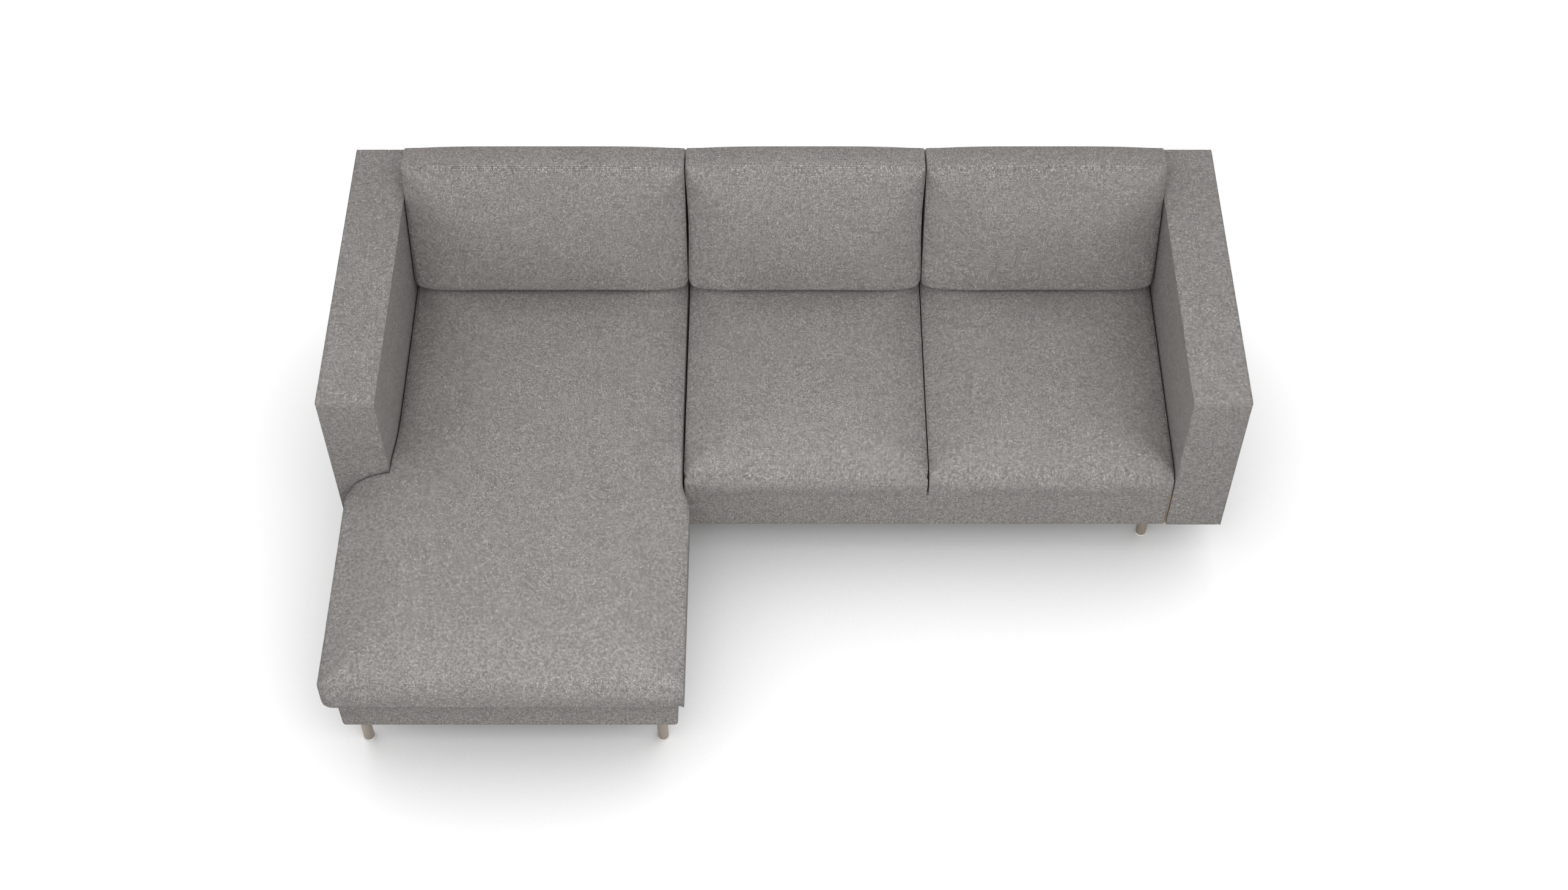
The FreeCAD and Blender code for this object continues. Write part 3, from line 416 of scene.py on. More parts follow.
def pucker(piece, paths, height, reach, pitch, seed):
    """Small gathers that run away from the sewn seams of a piece."""
    points, normals = vectors_of(piece, "co"), vectors_of(piece, "normal")
    spacing = 4 * MM
    line, where = [], []
    for number, path in enumerate(paths):
        run, _ = even_run(points[path], spacing)
        line.append(run)
        where.append(np.arange(len(run)) * spacing + 3.1 * number)
    line, where = np.concatenate(line), np.concatenate(where)
    tree = KDTree(len(line))
    for i, p in enumerate(line):
        tree.insert(p, i)
    tree.balance()
    near = [tree.find(p) for p in points]
    gap = np.array([n[2] for n in near])
    along = where[[n[1] for n in near]]
    wave = ripple(along, gap * 0.25, pitch, seed) + 0.6 * ripple(along, gap * 0.4, pitch * 0.55, seed + 3)
    # The gathers start at the stitches, fade out over their reach, and come and go along the seam.
    rise = np.minimum(gap / (5 * MM), 1) * np.exp(-gap / reach)
    patchy = 0.55 + 0.45 * np.sin(along * 9.0 + seed)
    set_points(piece, points + normals * (height * wave * rise * patchy)[:, None])


# Materials


def linear(code):
    """An sRGB hex colour as linear RGBA."""
    parts = [int(code[i : i + 2], 16) / 255 for i in (1, 3, 5)]
    return (*(p / 12.92 if p <= 0.04045 else ((p + 0.055) / 1.055) ** 2.4 for p in parts), 1.0)


def add(tree, kind, *values, inputs=None, **settings):
    """Adds a node with its settings. Values go to its inputs in order, and named ones by name.

    A node that is given as a value stands for its first output.
    """
    node = tree.nodes.new("ShaderNode" + kind)
    for key, value in settings.items():
        setattr(node, key, value)
    sockets = [s for s in node.inputs if s.enabled]
    named = {s.name: s for s in reversed(sockets)}
    for socket, value in [*zip(sockets, values), *((named[key], value) for key, value in (inputs or {}).items())]:
        if isinstance(value, bpy.types.Node):
            value = next(s for s in value.outputs if s.enabled)
        if isinstance(value, bpy.types.NodeSocket):
            tree.links.new(value, socket)
        else:
            socket.default_value = value
    return node


def new_material(name, tree_of, **shared):
    """A material with a principled shader.

    The tree_of function gives the inputs that vary, and shared the ones that are the same all over.
    """
    material = bpy.data.materials.new(name)
    material.use_nodes = True
    tree = material.node_tree
    tree.nodes.clear()
    inputs = tree_of(tree) | {key.replace("_", " "): value for key, value in shared.items()}
    add(tree, "OutputMaterial", add(tree, "BsdfPrincipled", inputs=inputs))
    return material


# Weights of what makes one yarn darker or paler than the next; the height weight is painted shade that darkens each
# thread towards its edges, in the grooves between threads.
YARN_LEVEL = -0.24
YARN_AND_GROOVE_SHADE_WEIGHTS = {"piece": 0.36, "cell": 0.42, "slub": 0.22, "height": 0.6, "over": -0.40, "cloud": 0.08}


def woven_tweed(look):
    """Polyester tweed, plain-woven from slubby grey-taupe yarn: matt and soft, with pale flecks.

    Threads are drawn at their own spacing, in cloth metres.
    """

    def tree_of(tree):
        flat = {"noise_dimensions": "2D"}
        cloth = add(tree, "UVMap", uv_map=WEAVE)
        # The threads wander by up to 1 mm within about 36 mm, as loosely woven ones do.
        wander = add(tree, "TexNoise", cloth, 28.0, 1.0, **flat).outputs["Color"]
        moved = add(tree, "VectorMath", wander, (1 * MM,) * 3, cloth, operation="MULTIPLY_ADD")
        threads = add(tree, "VectorMath", moved, 1 / look.thread_pitch, operation="SCALE")
        axes = add(tree, "SeparateXYZ", threads).outputs[:2]
        lanes = [add(tree, "Math", axis, operation="FLOOR") for axis in axes]
        rounds = []
        for axis in axes:
            across = add(tree, "Math", add(tree, "Math", axis, operation="FRACT"), 0.5, operation="SUBTRACT")
            turned = add(tree, "Math", across, math.pi, operation="MULTIPLY")
            rounds.append(add(tree, "Math", turned, operation="COSINE"))
        crossing = add(tree, "Math", *lanes, operation="ADD")
        over = add(tree, "Math", crossing, 2.0, operation="FLOORED_MODULO")
        cell = add(tree, "TexWhiteNoise", add(tree, "CombineXYZ", *lanes), **flat)
        yarns = []
        # The weft runs along the first axis and the warp along the second.
        for n in (0, 1):
            along, lane = axes[n], lanes[1 - n]
            # Floats of one paler or darker yarn, three crossings long, start at another place in each lane.
            numbered = add(tree, "Math", lane, 0.37 * (1 - n), operation="ADD")
            by_lane = add(tree, "TexWhiteNoise", numbered, noise_dimensions="1D")
            start = add(tree, "Math", by_lane, 9.0, operation="MULTIPLY")
            third = add(tree, "Math", along, 1 / 3, start, operation="MULTIPLY_ADD")
            step = add(tree, "Math", third, operation="FLOOR")
            spot = add(tree, "CombineXYZ", *((step, lane) if n == 0 else (lane, step)))
            # Slubs, thick places on single yarns, are 20 to 40 mm long.
            stretch = (0.07, 0.5, 1.0) if n == 0 else (0.5, 0.07, 1.0)
            run = add(tree, "VectorMath", threads, stretch, operation="MULTIPLY")
            # Each thread's round profile raises the bump, and through its weight it also darkens the colour towards the
            # thread's edges as painted shade.
            low = add(tree, "Math", rounds[n], 0.45, operation="POWER")
            height = add(tree, "Math", rounds[1 - n], low, operation="MULTIPLY")
            yarns.append((height, add(tree, "TexWhiteNoise", spot, **flat), add(tree, "TexNoise", run, 1.0, 2.0, **flat)))
        height, piece, slub = (add(tree, "Mix", over, *pair, data_type="FLOAT") for pair in zip(*yarns))
        # Patches about 110 mm wide are a little paler or darker.
        cloud = add(tree, "TexNoise", cloth, 9.0, 3.0, **flat)
        tone = YARN_LEVEL
        parts = {"piece": piece, "cell": cell, "slub": slub, "height": height, "over": over, "cloud": cloud}
        # The height term is painted shade in the grooves between threads; the other terms are the yarns' own tones.
        for part, weight in YARN_AND_GROOVE_SHADE_WEIGHTS.items():
            tone = add(tree, "Math", parts[part], weight, tone, operation="MULTIPLY_ADD")
        ramp = add(tree, "ValToRGB", tone)
        stops = ramp.color_ramp.elements
        stops[0].position, stops[1].position = 0.02, 0.98
        stops[0].color, stops[1].color = linear("#545150"), linear("#bebab7")
        stops.new(0.5).color = linear("#8c8886")
        # One crossing in fourteen is a pale fleck.
        fleck = add(tree, "Math", add(tree, "Math", cell, 0.93, operation="GREATER_THAN"), 0.3, operation="MULTIPLY")
        flecked = add(tree, "Mix", fleck, ramp, linear("#d9d6d0"), data_type="RGBA")
        # Some yarns are spun with a little olive.
        olive = add(tree, "Math", yarns[0][1], 0.06, operation="MULTIPLY")
        tinted = add(tree, "Mix", olive, flecked, linear("#fffde0"), data_type="RGBA", blend_type="MULTIPLY")
        surface = add(tree, "Math", slub, 0.5, height, operation="MULTIPLY_ADD")
        relief = {"Strength": look.relief, "Distance": 0.6 * MM, "Height": surface}
        return {"Base Color": tinted, "Normal": add(tree, "Bump", inputs=relief)}

    for name in FABRICS:
        new_material(name, tree_of, Roughness=0.92, Specular_IOR_Level=0.25)


def place_in(tree, stretch=(1, 1, 1)):
    """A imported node's own metres, stretched by three factors."""
    place = add(tree, "TexCoord").outputs["Object"]
    return add(tree, "VectorMath", place, stretch, operation="MULTIPLY")


def planed_pine(axis):
    """Planed pine boards: pale and matt, with darker growth lines along the board and fine pores.

    Growth lines are about 10 mm apart where the grain is flat, and pores 2.4 mm.
    """

    def tree_of(tree):
        place = place_in(tree, [0.06 if a == axis else 1.0 for a in "XYZ"])
        bent = add(tree, "Math", add(tree, "TexNoise", place, 9.0, 3.0), 11.0, operation="MULTIPLY")
        rings = add(tree, "Math", bent, 1.0, operation="PINGPONG")
        pores = add(tree, "TexNoise", place, 420.0, 2.0)
        tone = add(tree, "Math", pores, 0.4, operation="MULTIPLY")
        tone = add(tree, "Math", rings, 0.65, tone, operation="MULTIPLY_ADD")
        ramp = add(tree, "ValToRGB", tone)
        stops = ramp.color_ramp.elements
        stops[0].position, stops[1].position = 0.15, 0.85
        stops[0].color, stops[1].color = linear("#d9bb8b"), linear("#b98d58")
        gloss = add(tree, "Math", pores, 0.25, 0.55, operation="MULTIPLY_ADD")
        relief = {"Strength": 0.35, "Distance": 0.4 * MM, "Height": tone}
        return {"Base Color": ramp, "Normal": add(tree, "Bump", inputs=relief), "Roughness": gloss}

    return new_material(f"Planed pine along {axis}", tree_of)


def fine_marks(name, dark, pale, scale, gloss, relief, stretch=(1, 1, 1), **shared):
    """A hard finish whose fine marks, in cycles to the metre, shift its colour and gloss a little."""
    detail, spread, strength, depth = relief

    def tree_of(tree):
        marks = add(tree, "TexNoise", place_in(tree, stretch), scale, detail)
        rough = add(tree, "Math", marks, spread, gloss, operation="MULTIPLY_ADD")
        colour = add(tree, "Mix", marks, linear(dark), linear(pale), data_type="RGBA")
        bump = add(tree, "Bump", inputs={"Strength": strength, "Distance": depth, "Height": marks})
        return {"Base Color": colour, "Normal": bump, "Roughness": rough}

    return new_material(name, tree_of, **shared)


def spun_bond():
    """Black spun-bonded polypropylene: thin and matt, with a lattice of small pressed dots and cloudy fibres."""

    def tree_of(tree):
        place = place_in(tree, (1, 1, 0))
        # The real dots are about 1.5 mm apart. They are drawn 2 mm apart.
        dots = add(tree, "TexVoronoi", place, inputs={"Scale": 500.0, "Randomness": 0.0}, voronoi_dimensions="2D")
        fibres = add(tree, "TexNoise", place, 160.0, 4.0)
        height = add(tree, "Math", dots, 1.4, fibres, operation="MULTIPLY_ADD")
        colour = add(tree, "Mix", fibres, linear("#17171a"), linear("#3a3a3d"), data_type="RGBA")
        bump = add(tree, "Bump", inputs={"Strength": 0.5, "Distance": 0.25 * MM, "Height": height})
        return {"Base Color": colour, "Normal": bump}

    new_material(LINING, tree_of, Roughness=0.85)


# What a user may change


class FabricLook(bpy.types.PropertyGroup):
    """The upholstery fabric."""

    thread_pitch: FloatProperty(
        name="Thread pitch", description="Distance between two yarns", default=2.25 * MM, min=MM, unit="LENGTH"
    )
    relief: FloatProperty(
        name="Relief", description="How strongly the weave stands out", default=0.5, min=0, max=1, subtype="FACTOR"
    )
    seam_radius: FloatProperty(
        name="Seam radius", description="Half the width of a sewn edge", default=1.4 * MM, unit="LENGTH"
    )


class CushionShape(bpy.types.PropertyGroup):
    """The loose cushions."""

    grid: FloatProperty(
        name="Grid", description="Spacing of a cushion's mesh before it is smoothed", default=12 * MM, unit="LENGTH"
    )
    pressure: FloatProperty(name="Pressure", description="Air pressure that plumps a cushion", default=4.0, unit="NONE")
    cap: FloatProperty(
        name="Largest move", description="How far plumping may move a point", default=22 * MM, unit="LENGTH"
    )
    frames: IntProperty(name="Frames", description="Frames of cloth simulation", default=20)


class Studio(bpy.types.PropertyGroup):
    """Camera, light and floor."""

    eye: FloatVectorProperty(
        name="Camera", description="Where the camera stands", default=(0, -3.8633, 5.4019), unit="LENGTH", subtype="XYZ"
    )
    look_down: FloatProperty(
        name="Look down", description="The camera's turn about X", default=math.radians(37.42), unit="ROTATION"
    )
    lens: FloatProperty(name="Lens", description="Focal length on a 36 mm sensor", default=50.39, unit="CAMERA")
    key: FloatProperty(name="Key light", description="Power of the large soft light", default=66.0, unit="POWER")
    sky: FloatProperty(name="Sky", description="Strength of the even light from all round", default=0.82)


# Pieces


ARM_EDGE = 9 * MM
BACK_TILT = math.radians(12)
LEG_HOLE = 15.5 * MM
# Where the legs stand, as in the part's source.
LEG_PLACES = {
    "chaise": [(-1166, -760.5), (-339, -760.5), (-1072, -6.5), (-339, -6.5), (-1072, 765.5), (-339, 765.5)],
    "loveseat": [(1072, -58.5), (-241, -6.5), (415, -6.5), (1072, 765.5), (-241, 765.5), (415, 765.5)],
}


def padded_box(low, high, edge, corner, swell, seed, step=16 * MM, lean=None):
    """A slab in a tight fabric cover: rounded edges, slightly swollen faces, and a lean of its front if asked for."""
    outline = rectangle(low[0], low[1], high[0], high[1])
    height = high[2] - low[2]
    near = (0.45 * edge, edge, 1.8 * edge)
    block = Block(outline, height, step, near, grid_lines((0, height), step * 1.6, near))
    plan, way = block.rounded_plan(corner)
    z = block.points[:, 2].copy()
    inset = block.inset.copy()
    for end in (0, 1):
        up = (z - (height - edge)) if end else (edge - z)
        a, b = rounded(edge - inset, up)
        hit = (edge - inset > 0) & (up > 0)
        inset = np.where(hit, edge - a, inset)
        z = np.where(hit, height - edge + b if end else edge - b, z)
    x, y = block.plan[:, 0], block.plan[:, 1]
    # The covers swell over the padding between the edges.
    ease = 1 - np.exp(-soft_least(block.gaps) / (40 * MM))
    top = block.zone == 2
    z = z + np.where(top, swell * ease + 0.5 * MM * ripple(x, y, 0.21, seed) * ease, 0)
    wall = block.zone == 1
    from_edges = 1 - np.exp(-np.minimum(z, height - z) / (50 * MM))
    round_side = 1 - np.exp(-block.corner_gap() / (50 * MM))
    out = np.where(wall, swell * from_edges * round_side, 0)
    plan = plan + way * (inset - block.inset - out)[:, None]
    points = np.stack((plan[:, 0], plan[:, 1], z + low[2]), 1)
    if lean is not None:
        points = lean(points)
    return block, points


class SOFA_OT_arms(bpy.types.Operator):
    """Makes the two arms' fabric covers"""

    bl_idname = "sofa.arms"
    bl_label = "Arms"

    def execute(self, context):
        fabric = bpy.data.materials[COVER]
        seam = bpy.data.materials[SEAM]
        for number, (side, body) in enumerate((("left", "chaise_section"), ("right", "loveseat_section"))):
            low, high = box(f"{side}_arm_cover")
            block, points = padded_box(low, high, ARM_EDGE, 12 * MM, 2.5 * MM, 1 + number)
            # The inner face meets the base and the cushions, so it stays flat.
            room = 3 * MM
            left, right = (low[0] - room, high[0]) if side == "left" else (low[0], high[0] + room)
            points[:, 0] = np.clip(points[:, 0], left, right)
            cover = new_piece(f"{side}_arm", points, block.faces, block.weave(shift=0.2 + 0.7 * number))
            subdivide(cover)
            fronts = [block.upright(block.outline[n])[1:] for n in (0, 1)]
            settle(cover, body, fabric, (f"{side}_arm_cover", f"{side}_arm_padding"))
            paths = block.rims() + fronts
            sewn_seams(cover, paths, context.scene.sofa_fabric.seam_radius, seam, body, f"{side}_arm_seams")
        return {"FINISHED"}


class SOFA_OT_back_rests(bpy.types.Operator):
    """Makes the fabric covers of the two back rests behind the cushions"""

    bl_idname = "sofa.back_rests"
    bl_label = "Back rests"

    def execute(self, context):
        fabric = bpy.data.materials[COVER]
        seam = bpy.data.materials[SEAM]
        for section in SECTIONS:
            low, high = box(f"{section}_back_cover")
            knee = box(f"{section}_base_cover")[1][2]

            def front(points, low=low, knee=knee):
                return low[1] + np.maximum(points[:, 2] - knee, 0) * math.tan(BACK_TILT)

            def lean(points, low=low, high=high, front=front):
                share = (high[1] - front(points)) / (high[1] - low[1])
                points[:, 1] = high[1] + (points[:, 1] - high[1]) * share
                return points

            block, points = padded_box(low, high, ARM_EDGE, 9 * MM, 2.5 * MM, 5, lean=lean)
            points[:, 0] = np.clip(points[:, 0], low[0], high[0])
            points[:, 1] = np.maximum(points[:, 1], front(points))
            name = f"{section}_back_rest"
            cover = new_piece(name, points, block.faces, block.weave(shift=1.7))
            subdivide(cover)
            body = f"{section}_section"
            settle(cover, body, fabric, (f"{section}_back_cover", f"{section}_back_padding"))
            paths = block.rims() + [block.upright(block.outline[n])[1:] for n in (2, 3)]
            sewn_seams(cover, paths, context.scene.sofa_fabric.seam_radius, seam, body, f"{name}_seams")
        return {"FINISHED"}


def base_outline(section):
    """The plan outline of a section's base, anticlockwise from its front left corner."""
    low, high = box(f"{section}_base_cover")
    if section == "loveseat":
        return rectangle(low[0], low[1], high[0], high[1])
    arm_low, arm_high = box("left_arm_cover")
    return without_corner(low[:2], high[:2], (arm_high[0], arm_low[1]))


def outline_run(outline, step, radius, round_at):
    """Points along an outline with the way inward at each, the given corners rounded. The last point closes the ring."""
    points, ways = [], []
    count = len(outline)
    for n in range(count):
        before, at, after = outline[n - 1], outline[n], outline[(n + 1) % count]
        come = (at - before) / np.linalg.norm(at - before)
        go = (after - at) / np.linalg.norm(after - at)
        in_come, in_go = np.array((-come[1], come[0])), np.array((-go[1], go[0]))
        trim = radius if n in round_at else 0
        if trim:
            centre = at + trim * (in_come + in_go)
            for angle in np.linspace(0, math.pi / 2, 5):
                way = in_come * math.cos(angle) + in_go * math.sin(angle)
                points.append(centre - way * trim)
                ways.append(way)
        else:
            points.append(at)
            ways.append(in_come + in_go)
        gap = np.linalg.norm(after - at) - trim - (radius if (n + 1) % count in round_at else 0)
        pieces = max(1, round(gap / step))
        for k in range(1, pieces):
            points.append(at + go * (trim + gap * k / pieces))
            ways.append(in_go)
    points.append(points[0])
    ways.append(ways[0])
    return np.array(points), np.array(ways)


class SOFA_OT_bases(bpy.types.Operator):
    """Makes the fabric bands round the two bases, turned in at the top and the bottom"""

    bl_idname = "sofa.bases"
    bl_label = "Base bands"

    def execute(self, context):
        fabric = bpy.data.materials[COVER]
        for section in SECTIONS:
            low, high = box(f"{section}_base_cover")
            outline = base_outline(section)
            run, way = outline_run(outline, 14 * MM, 10 * MM, {0} if section == "chaise" else set())
            height = high[2] - low[2]
            # How far in and how high each line of the band lies: turned in below, upright, turned in above.
            profile = [(16, -0.15), (7, -0.15), (2, 0), (0.3, 2.5)]
            profile += [(0, z / MM) for z in np.linspace(12 * MM, height - 12 * MM, 8)]
            profile += [(inset, height / MM - drop) for inset, drop in ((0.3, 3), (2, 0.8), (7, 0.3), (16, 0.3))]
            profile = np.array(profile) * MM
            length = np.concatenate(([0], np.cumsum(np.linalg.norm(np.diff(run, axis=0), axis=1))))
            down = np.concatenate(([0], np.cumsum(np.hypot(*np.diff(profile, axis=0).T))))
            points = []
            for inset, z in profile:
                full = np.minimum(z, height - z) > 5 * MM
                # The band only sways inwards, so it stays clear of the arm and of the other section.
                sway = 0.7 * MM * ripple(length, np.full_like(length, z), 0.19, 4) if full else np.zeros_like(length)
                moved = run + way * (inset + np.maximum(sway, 0))[:, None]
                points += [(x, y, low[2] + z) for x, y in moved[:-1]]
            count = len(run) - 1
            faces, weave = [], []
            for k in range(len(profile) - 1):
                for n in range(count):
                    m = (n + 1) % count
                    faces.append((k * count + n, k * count + m, (k + 1) * count + m, (k + 1) * count + n))
                    ends = ((n, k), (n + 1, k), (n + 1, k + 1), (n, k + 1))
                    weave += [(length[i], down[j]) for i, j in ends]
            band = new_piece(f"{section}_base_band", points, faces, weave)
            subdivide(band)
            settle(band, f"{section}_section", fabric, (f"{section}_base_cover",))
        return {"FINISHED"}


def seat_outline(seat):
    """The plan outline of a seat cushion, anticlockwise from its front left corner."""
    low, high = box(f"{seat}_cover")
    if seat != "chaise_seat":
        return rectangle(low[0], low[1], high[0], high[1])
    arm_low, arm_high = box("left_arm_cover")
    left = arm_high[0] + 1.5 * MM
    right = box("middle_seat_cover")[0][0] - 6 * MM
    notch = arm_low[1] - 8 * MM
    front = [(low[0], low[1]), (high[0], low[1]), (high[0], notch), (right, notch)]
    return np.array([*front, (right, high[1]), (left, high[1]), (left, notch), (low[0], notch)])


def cushion_points(block, shape, seed, pressed=(), gaps=None):
    """A boxed cushion: flat below, drawn-in walls and a crowned top whose rim is the seam.

    The sides numbered in pressed push against something, so the crown runs right up to them.
    """
    wall, crown, reach, corner, draw, foot = shape
    standing = 0 in pressed
    plan, way = block.rounded_plan(corner)
    z, inset = block.points[:, 2].copy(), block.inset.copy()
    a, b = rounded(foot - inset, foot - z)
    hit = (foot - inset > 0) & (foot - z > 0)
    inset = np.where(hit, foot - a, inset)
    z = np.where(hit, foot - b, z)
    top = block.levels[-1] - block.points[:, 2] < 1e-6
    gaps = block.gaps if gaps is None else gaps
    free = np.array([n not in pressed for n in range(len(block.outline))])
    share = np.minimum(soft_least(gaps[free]) / reach, 1)
    share = np.where(share * reach < 1e-4, 0, share)
    rise = np.sqrt(np.maximum(1 - (1 - share) ** 2, 0))
    x, y = block.plan[:, 0], block.plan[:, 1]
    loose = 1.2 * MM * ripple(x, y, 0.3, seed) * rise
    if pressed:
        # The pressed edge is rounded like a pillow's.
        edge = soft_least(block.gaps[~free]) / (20 * MM)
        rise = rise * (1 - 0.12 * np.exp(-edge * 1.8))
    full = wall + crown * rise + loose
    grown = foot + (z - foot) * (full - foot) / (wall - foot)
    z = np.where(top, full, np.where(z > foot, grown, z))
    pull = draw * (1 - np.exp(-((block.corner_gap() / 0.11) ** 2)))
    lift = 1 if standing else 1 - np.exp(-block.points[:, 2] / (0.45 * wall))
    fade = np.exp(-block.inset / 0.05)
    plan = plan + way * (inset - block.inset + pull * lift * fade)[:, None]
    return np.stack((plan[:, 0], plan[:, 1], z), 1)


# Each cushion's piece waits here between being cut out, plumped up and sewn.
CUT = {}


class SOFA_OT_seat_cushions(bpy.types.Operator):
    """Cuts out the three seat cushions"""

    bl_idname = "sofa.seat_cushions"
    bl_label = "Seat cushions"

    def execute(self, context):
        cushions = context.scene.sofa_cushions
        for number, seat in enumerate(SEATS):
            low, high = box(f"{seat}_cover")
            outline = seat_outline(seat)
            wall, crown, foot = 78 * MM, 46 * MM, 12 * MM
            near = (6 * MM, 14 * MM, 24 * MM, 34 * MM)
            levels = np.unique([0, 6 * MM, foot, *np.linspace(foot, wall, 7)])
            block = Block(outline, wall, cushions.grid, near, levels)
            pressed, gaps = (), block.gaps.copy()
            if seat == "chaise_seat":
                # The crown stays high where the cushion wraps the arm's front corner.
                pressed = (2, 6)
                behind = np.maximum(block.plan[:, 1] - outline[6][1], 0)
                for side in (3, 5):
                    gaps[side] = gaps[side] + 0.16 * np.exp(-((behind / 0.09) ** 2))
            points = cushion_points(block, (wall, crown, 0.21, 34 * MM, 1.5 * MM, foot), 3 + number, pressed, gaps)
            self.roll_front(points, block, wall)
            if seat == "chaise_seat":
                self.wrap_arm(points, block, wall)
                self.widen_front(points, outline, high[0])
            points[:, 2] += low[2] + 0.2 * MM
            piece = new_piece(seat, points, block.faces, block.weave(fold=("front",), shift=0.13 * number))
            CUT[seat] = {"piece": piece, "block": block, "low": low, "high": high}
        return {"FINISHED"}

    def roll_front(self, points, block, wall):
        """The front panel carries on from the top without a seam, so its edge is a soft roll."""
        roll = 32 * MM
        back = roll - np.maximum(block.plan[:, 1] - block.outline[0][1], 0)
        over = points[:, 2] - (wall - roll)
        a, b = rounded(back, over)
        hit = (back > 0) & (over > 0)
        points[:, 1] += np.where(hit, back - a, 0)
        points[:, 2] = np.where(hit, wall - roll + b, points[:, 2])

    def wrap_arm(self, points, block, wall):
        """The cushion falls off in front of the arm's outer side and stands up at its inner corner."""
        for corner, rise, reach in ((7, -25 * MM, 0.055), (6, 14 * MM, 0.07)):
            away = np.linalg.norm(block.plan - block.outline[corner], axis=1)
            up = np.clip(points[:, 2] / wall, 0, 1) ** 2
            points[:, 2] += rise * np.exp(-((away / reach) ** 2)) * up

    def widen_front(self, points, outline, edge):
        """The front part widens in a soft curve beside the middle seat, over 100 mm."""
        right, notch = outline[3]
        ahead = np.clip((notch - points[:, 1]) / 0.1, 0, 1)
        eased = 0.12 + 0.88 * ahead * ahead * (3 - 2 * ahead)
        widened = np.minimum((right - points[:, 0]) / (right - edge), 1) * eased
        points[:, 0] = np.where(points[:, 0] > right, right + (edge - right) * widened, points[:, 0])


class SOFA_OT_back_cushions(bpy.types.Operator):
    """Cuts out the three back cushions, leaning on the back rests"""

    bl_idname = "sofa.back_cushions"
    bl_label = "Back cushions"

    def execute(self, context):
        cushions = context.scene.sofa_cushions
        for number, back in enumerate(BACKS):
            low, high = box(f"{back}_cover")
            wall, crown, foot = 97 * MM, 42 * MM, 10 * MM
            up = np.array((0, math.sin(BACK_TILT), math.cos(BACK_TILT)))
            ahead = np.array((0, -math.cos(BACK_TILT), math.sin(BACK_TILT)))
            rear_top = np.array((0, high[1], 804 * MM))
            tall = (rear_top[2] - low[2]) / math.cos(BACK_TILT)
            outline = rectangle(low[0], 0, high[0], tall)
            near = (6 * MM, 14 * MM, 24 * MM, 36 * MM)
            levels = np.unique([0, 7 * MM, foot, *np.linspace(foot, wall, 7)])
            block = Block(outline, wall, cushions.grid, near, levels)
            local = cushion_points(block, (wall, crown, 0.16, 13 * MM, 6 * MM, foot), 11 + number, (0,))
            # The underside stands level on the seat.
            share = np.clip(1 - local[:, 1] / 0.09, 0, 1)
            local[:, 1] -= share * local[:, 2] * math.tan(BACK_TILT)
            points = rear_top + np.outer(local[:, 1] - tall, up) + np.outer(local[:, 2], ahead)
            points[:, 0] = local[:, 0]
            points[:, 2] = np.maximum(points[:, 2], low[2])
            piece = new_piece(back, points, block.faces, block.weave(shift=0.4 + 0.17 * number))
            CUT[back] = {"piece": piece, "block": block, "low": low, "high": high}
        return {"FINISHED"}


def seam_paths(name, block):
    """The vertex paths of a cushion's seams, by how its cover is cut."""
    paths = block.rims()
    if name in BACKS:
        return paths
    # A seat's front panel carries on from its top, so its first side has no seam and the uprights do.
    return paths[1:] + [block.upright(block.outline[n]) for n in (0, 1)]


class SOFA_OT_plump_cushions(bpy.types.Operator):
    """Plumps the cushions up by cloth simulation and sews their seams"""

    bl_idname = "sofa.plump_cushions"
    bl_label = "Plump cushions"

    def execute(self, context):
        cushions, look = context.scene.sofa_cushions, context.scene.sofa_fabric
        fabric = bpy.data.materials[CUSHION]
        seam = bpy.data.materials[SEAM]
        start = {name: vectors_of(cut["piece"], "co") for name, cut in CUT.items()}
        self.simulate(context, cushions)
        for number, (name, cut) in enumerate(CUT.items()):
            piece, block = cut["piece"], cut["block"]
            points = vectors_of(piece, "co")
            move = points - start[name]
            length = np.maximum(np.linalg.norm(move, axis=1), 1e-9)
            points = start[name] + move * np.minimum(1, cushions.cap / length)[:, None]
            low, high = cut["low"].copy(), cut["high"].copy()
            low[0], high[0] = low[0] - 0.7 * MM, high[0] + 0.7 * MM
            points[:, 0] = np.clip(points[:, 0], low[0], high[0])
            points[:, 2] = np.maximum(points[:, 2], low[2] + 0.2 * MM)
            set_points(piece, points)
            subdivide(piece)
            paths = seam_paths(name, block)
            # Gathers about 1 mm high and 26 mm apart, gone 22 mm from the seam.
            pucker(piece, paths, 1.1 * MM, 22 * MM, 26 * MM, number + 1)
            settle(piece, name, fabric, (f"{name}_cover", f"{name}_core"))
            sewn_seams(piece, paths, look.seam_radius, seam, name, f"{name}_seams")
        return {"FINISHED"}

    def simulate(self, context, cushions):
        """Air pressure on a cover whose seams and underside are held."""
        scene = context.scene
        for name, cut in CUT.items():
            piece, block = cut["piece"], cut["block"]
            held = {i for path in seam_paths(name, block) for i in path}
            held |= set(np.nonzero(block.points[:, 2] < 1e-6)[0].tolist())
            group = piece.vertex_groups.new(name="held")
            group.add(sorted(held), 1.0, "REPLACE")
            cloth = piece.modifiers.new("plump", "CLOTH")
            settings = cloth.settings
            settings.vertex_group_mass = "held"
            settings.use_pressure = True
            settings.uniform_pressure_force = cushions.pressure
            settings.effector_weights.gravity = 0
            settings.bending_model = "ANGULAR"
            settings.bending_stiffness = 8.0
            settings.quality = 4
            cloth.point_cache.frame_start, cloth.point_cache.frame_end = 1, cushions.frames
        for number in range(1, cushions.frames + 1):
            scene.frame_set(number)
        for cut in CUT.values():
            context.view_layer.objects.active = cut["piece"]
            bpy.ops.object.modifier_apply(modifier="plump")
            cut["piece"].vertex_groups.clear()
        scene.frame_set(1)


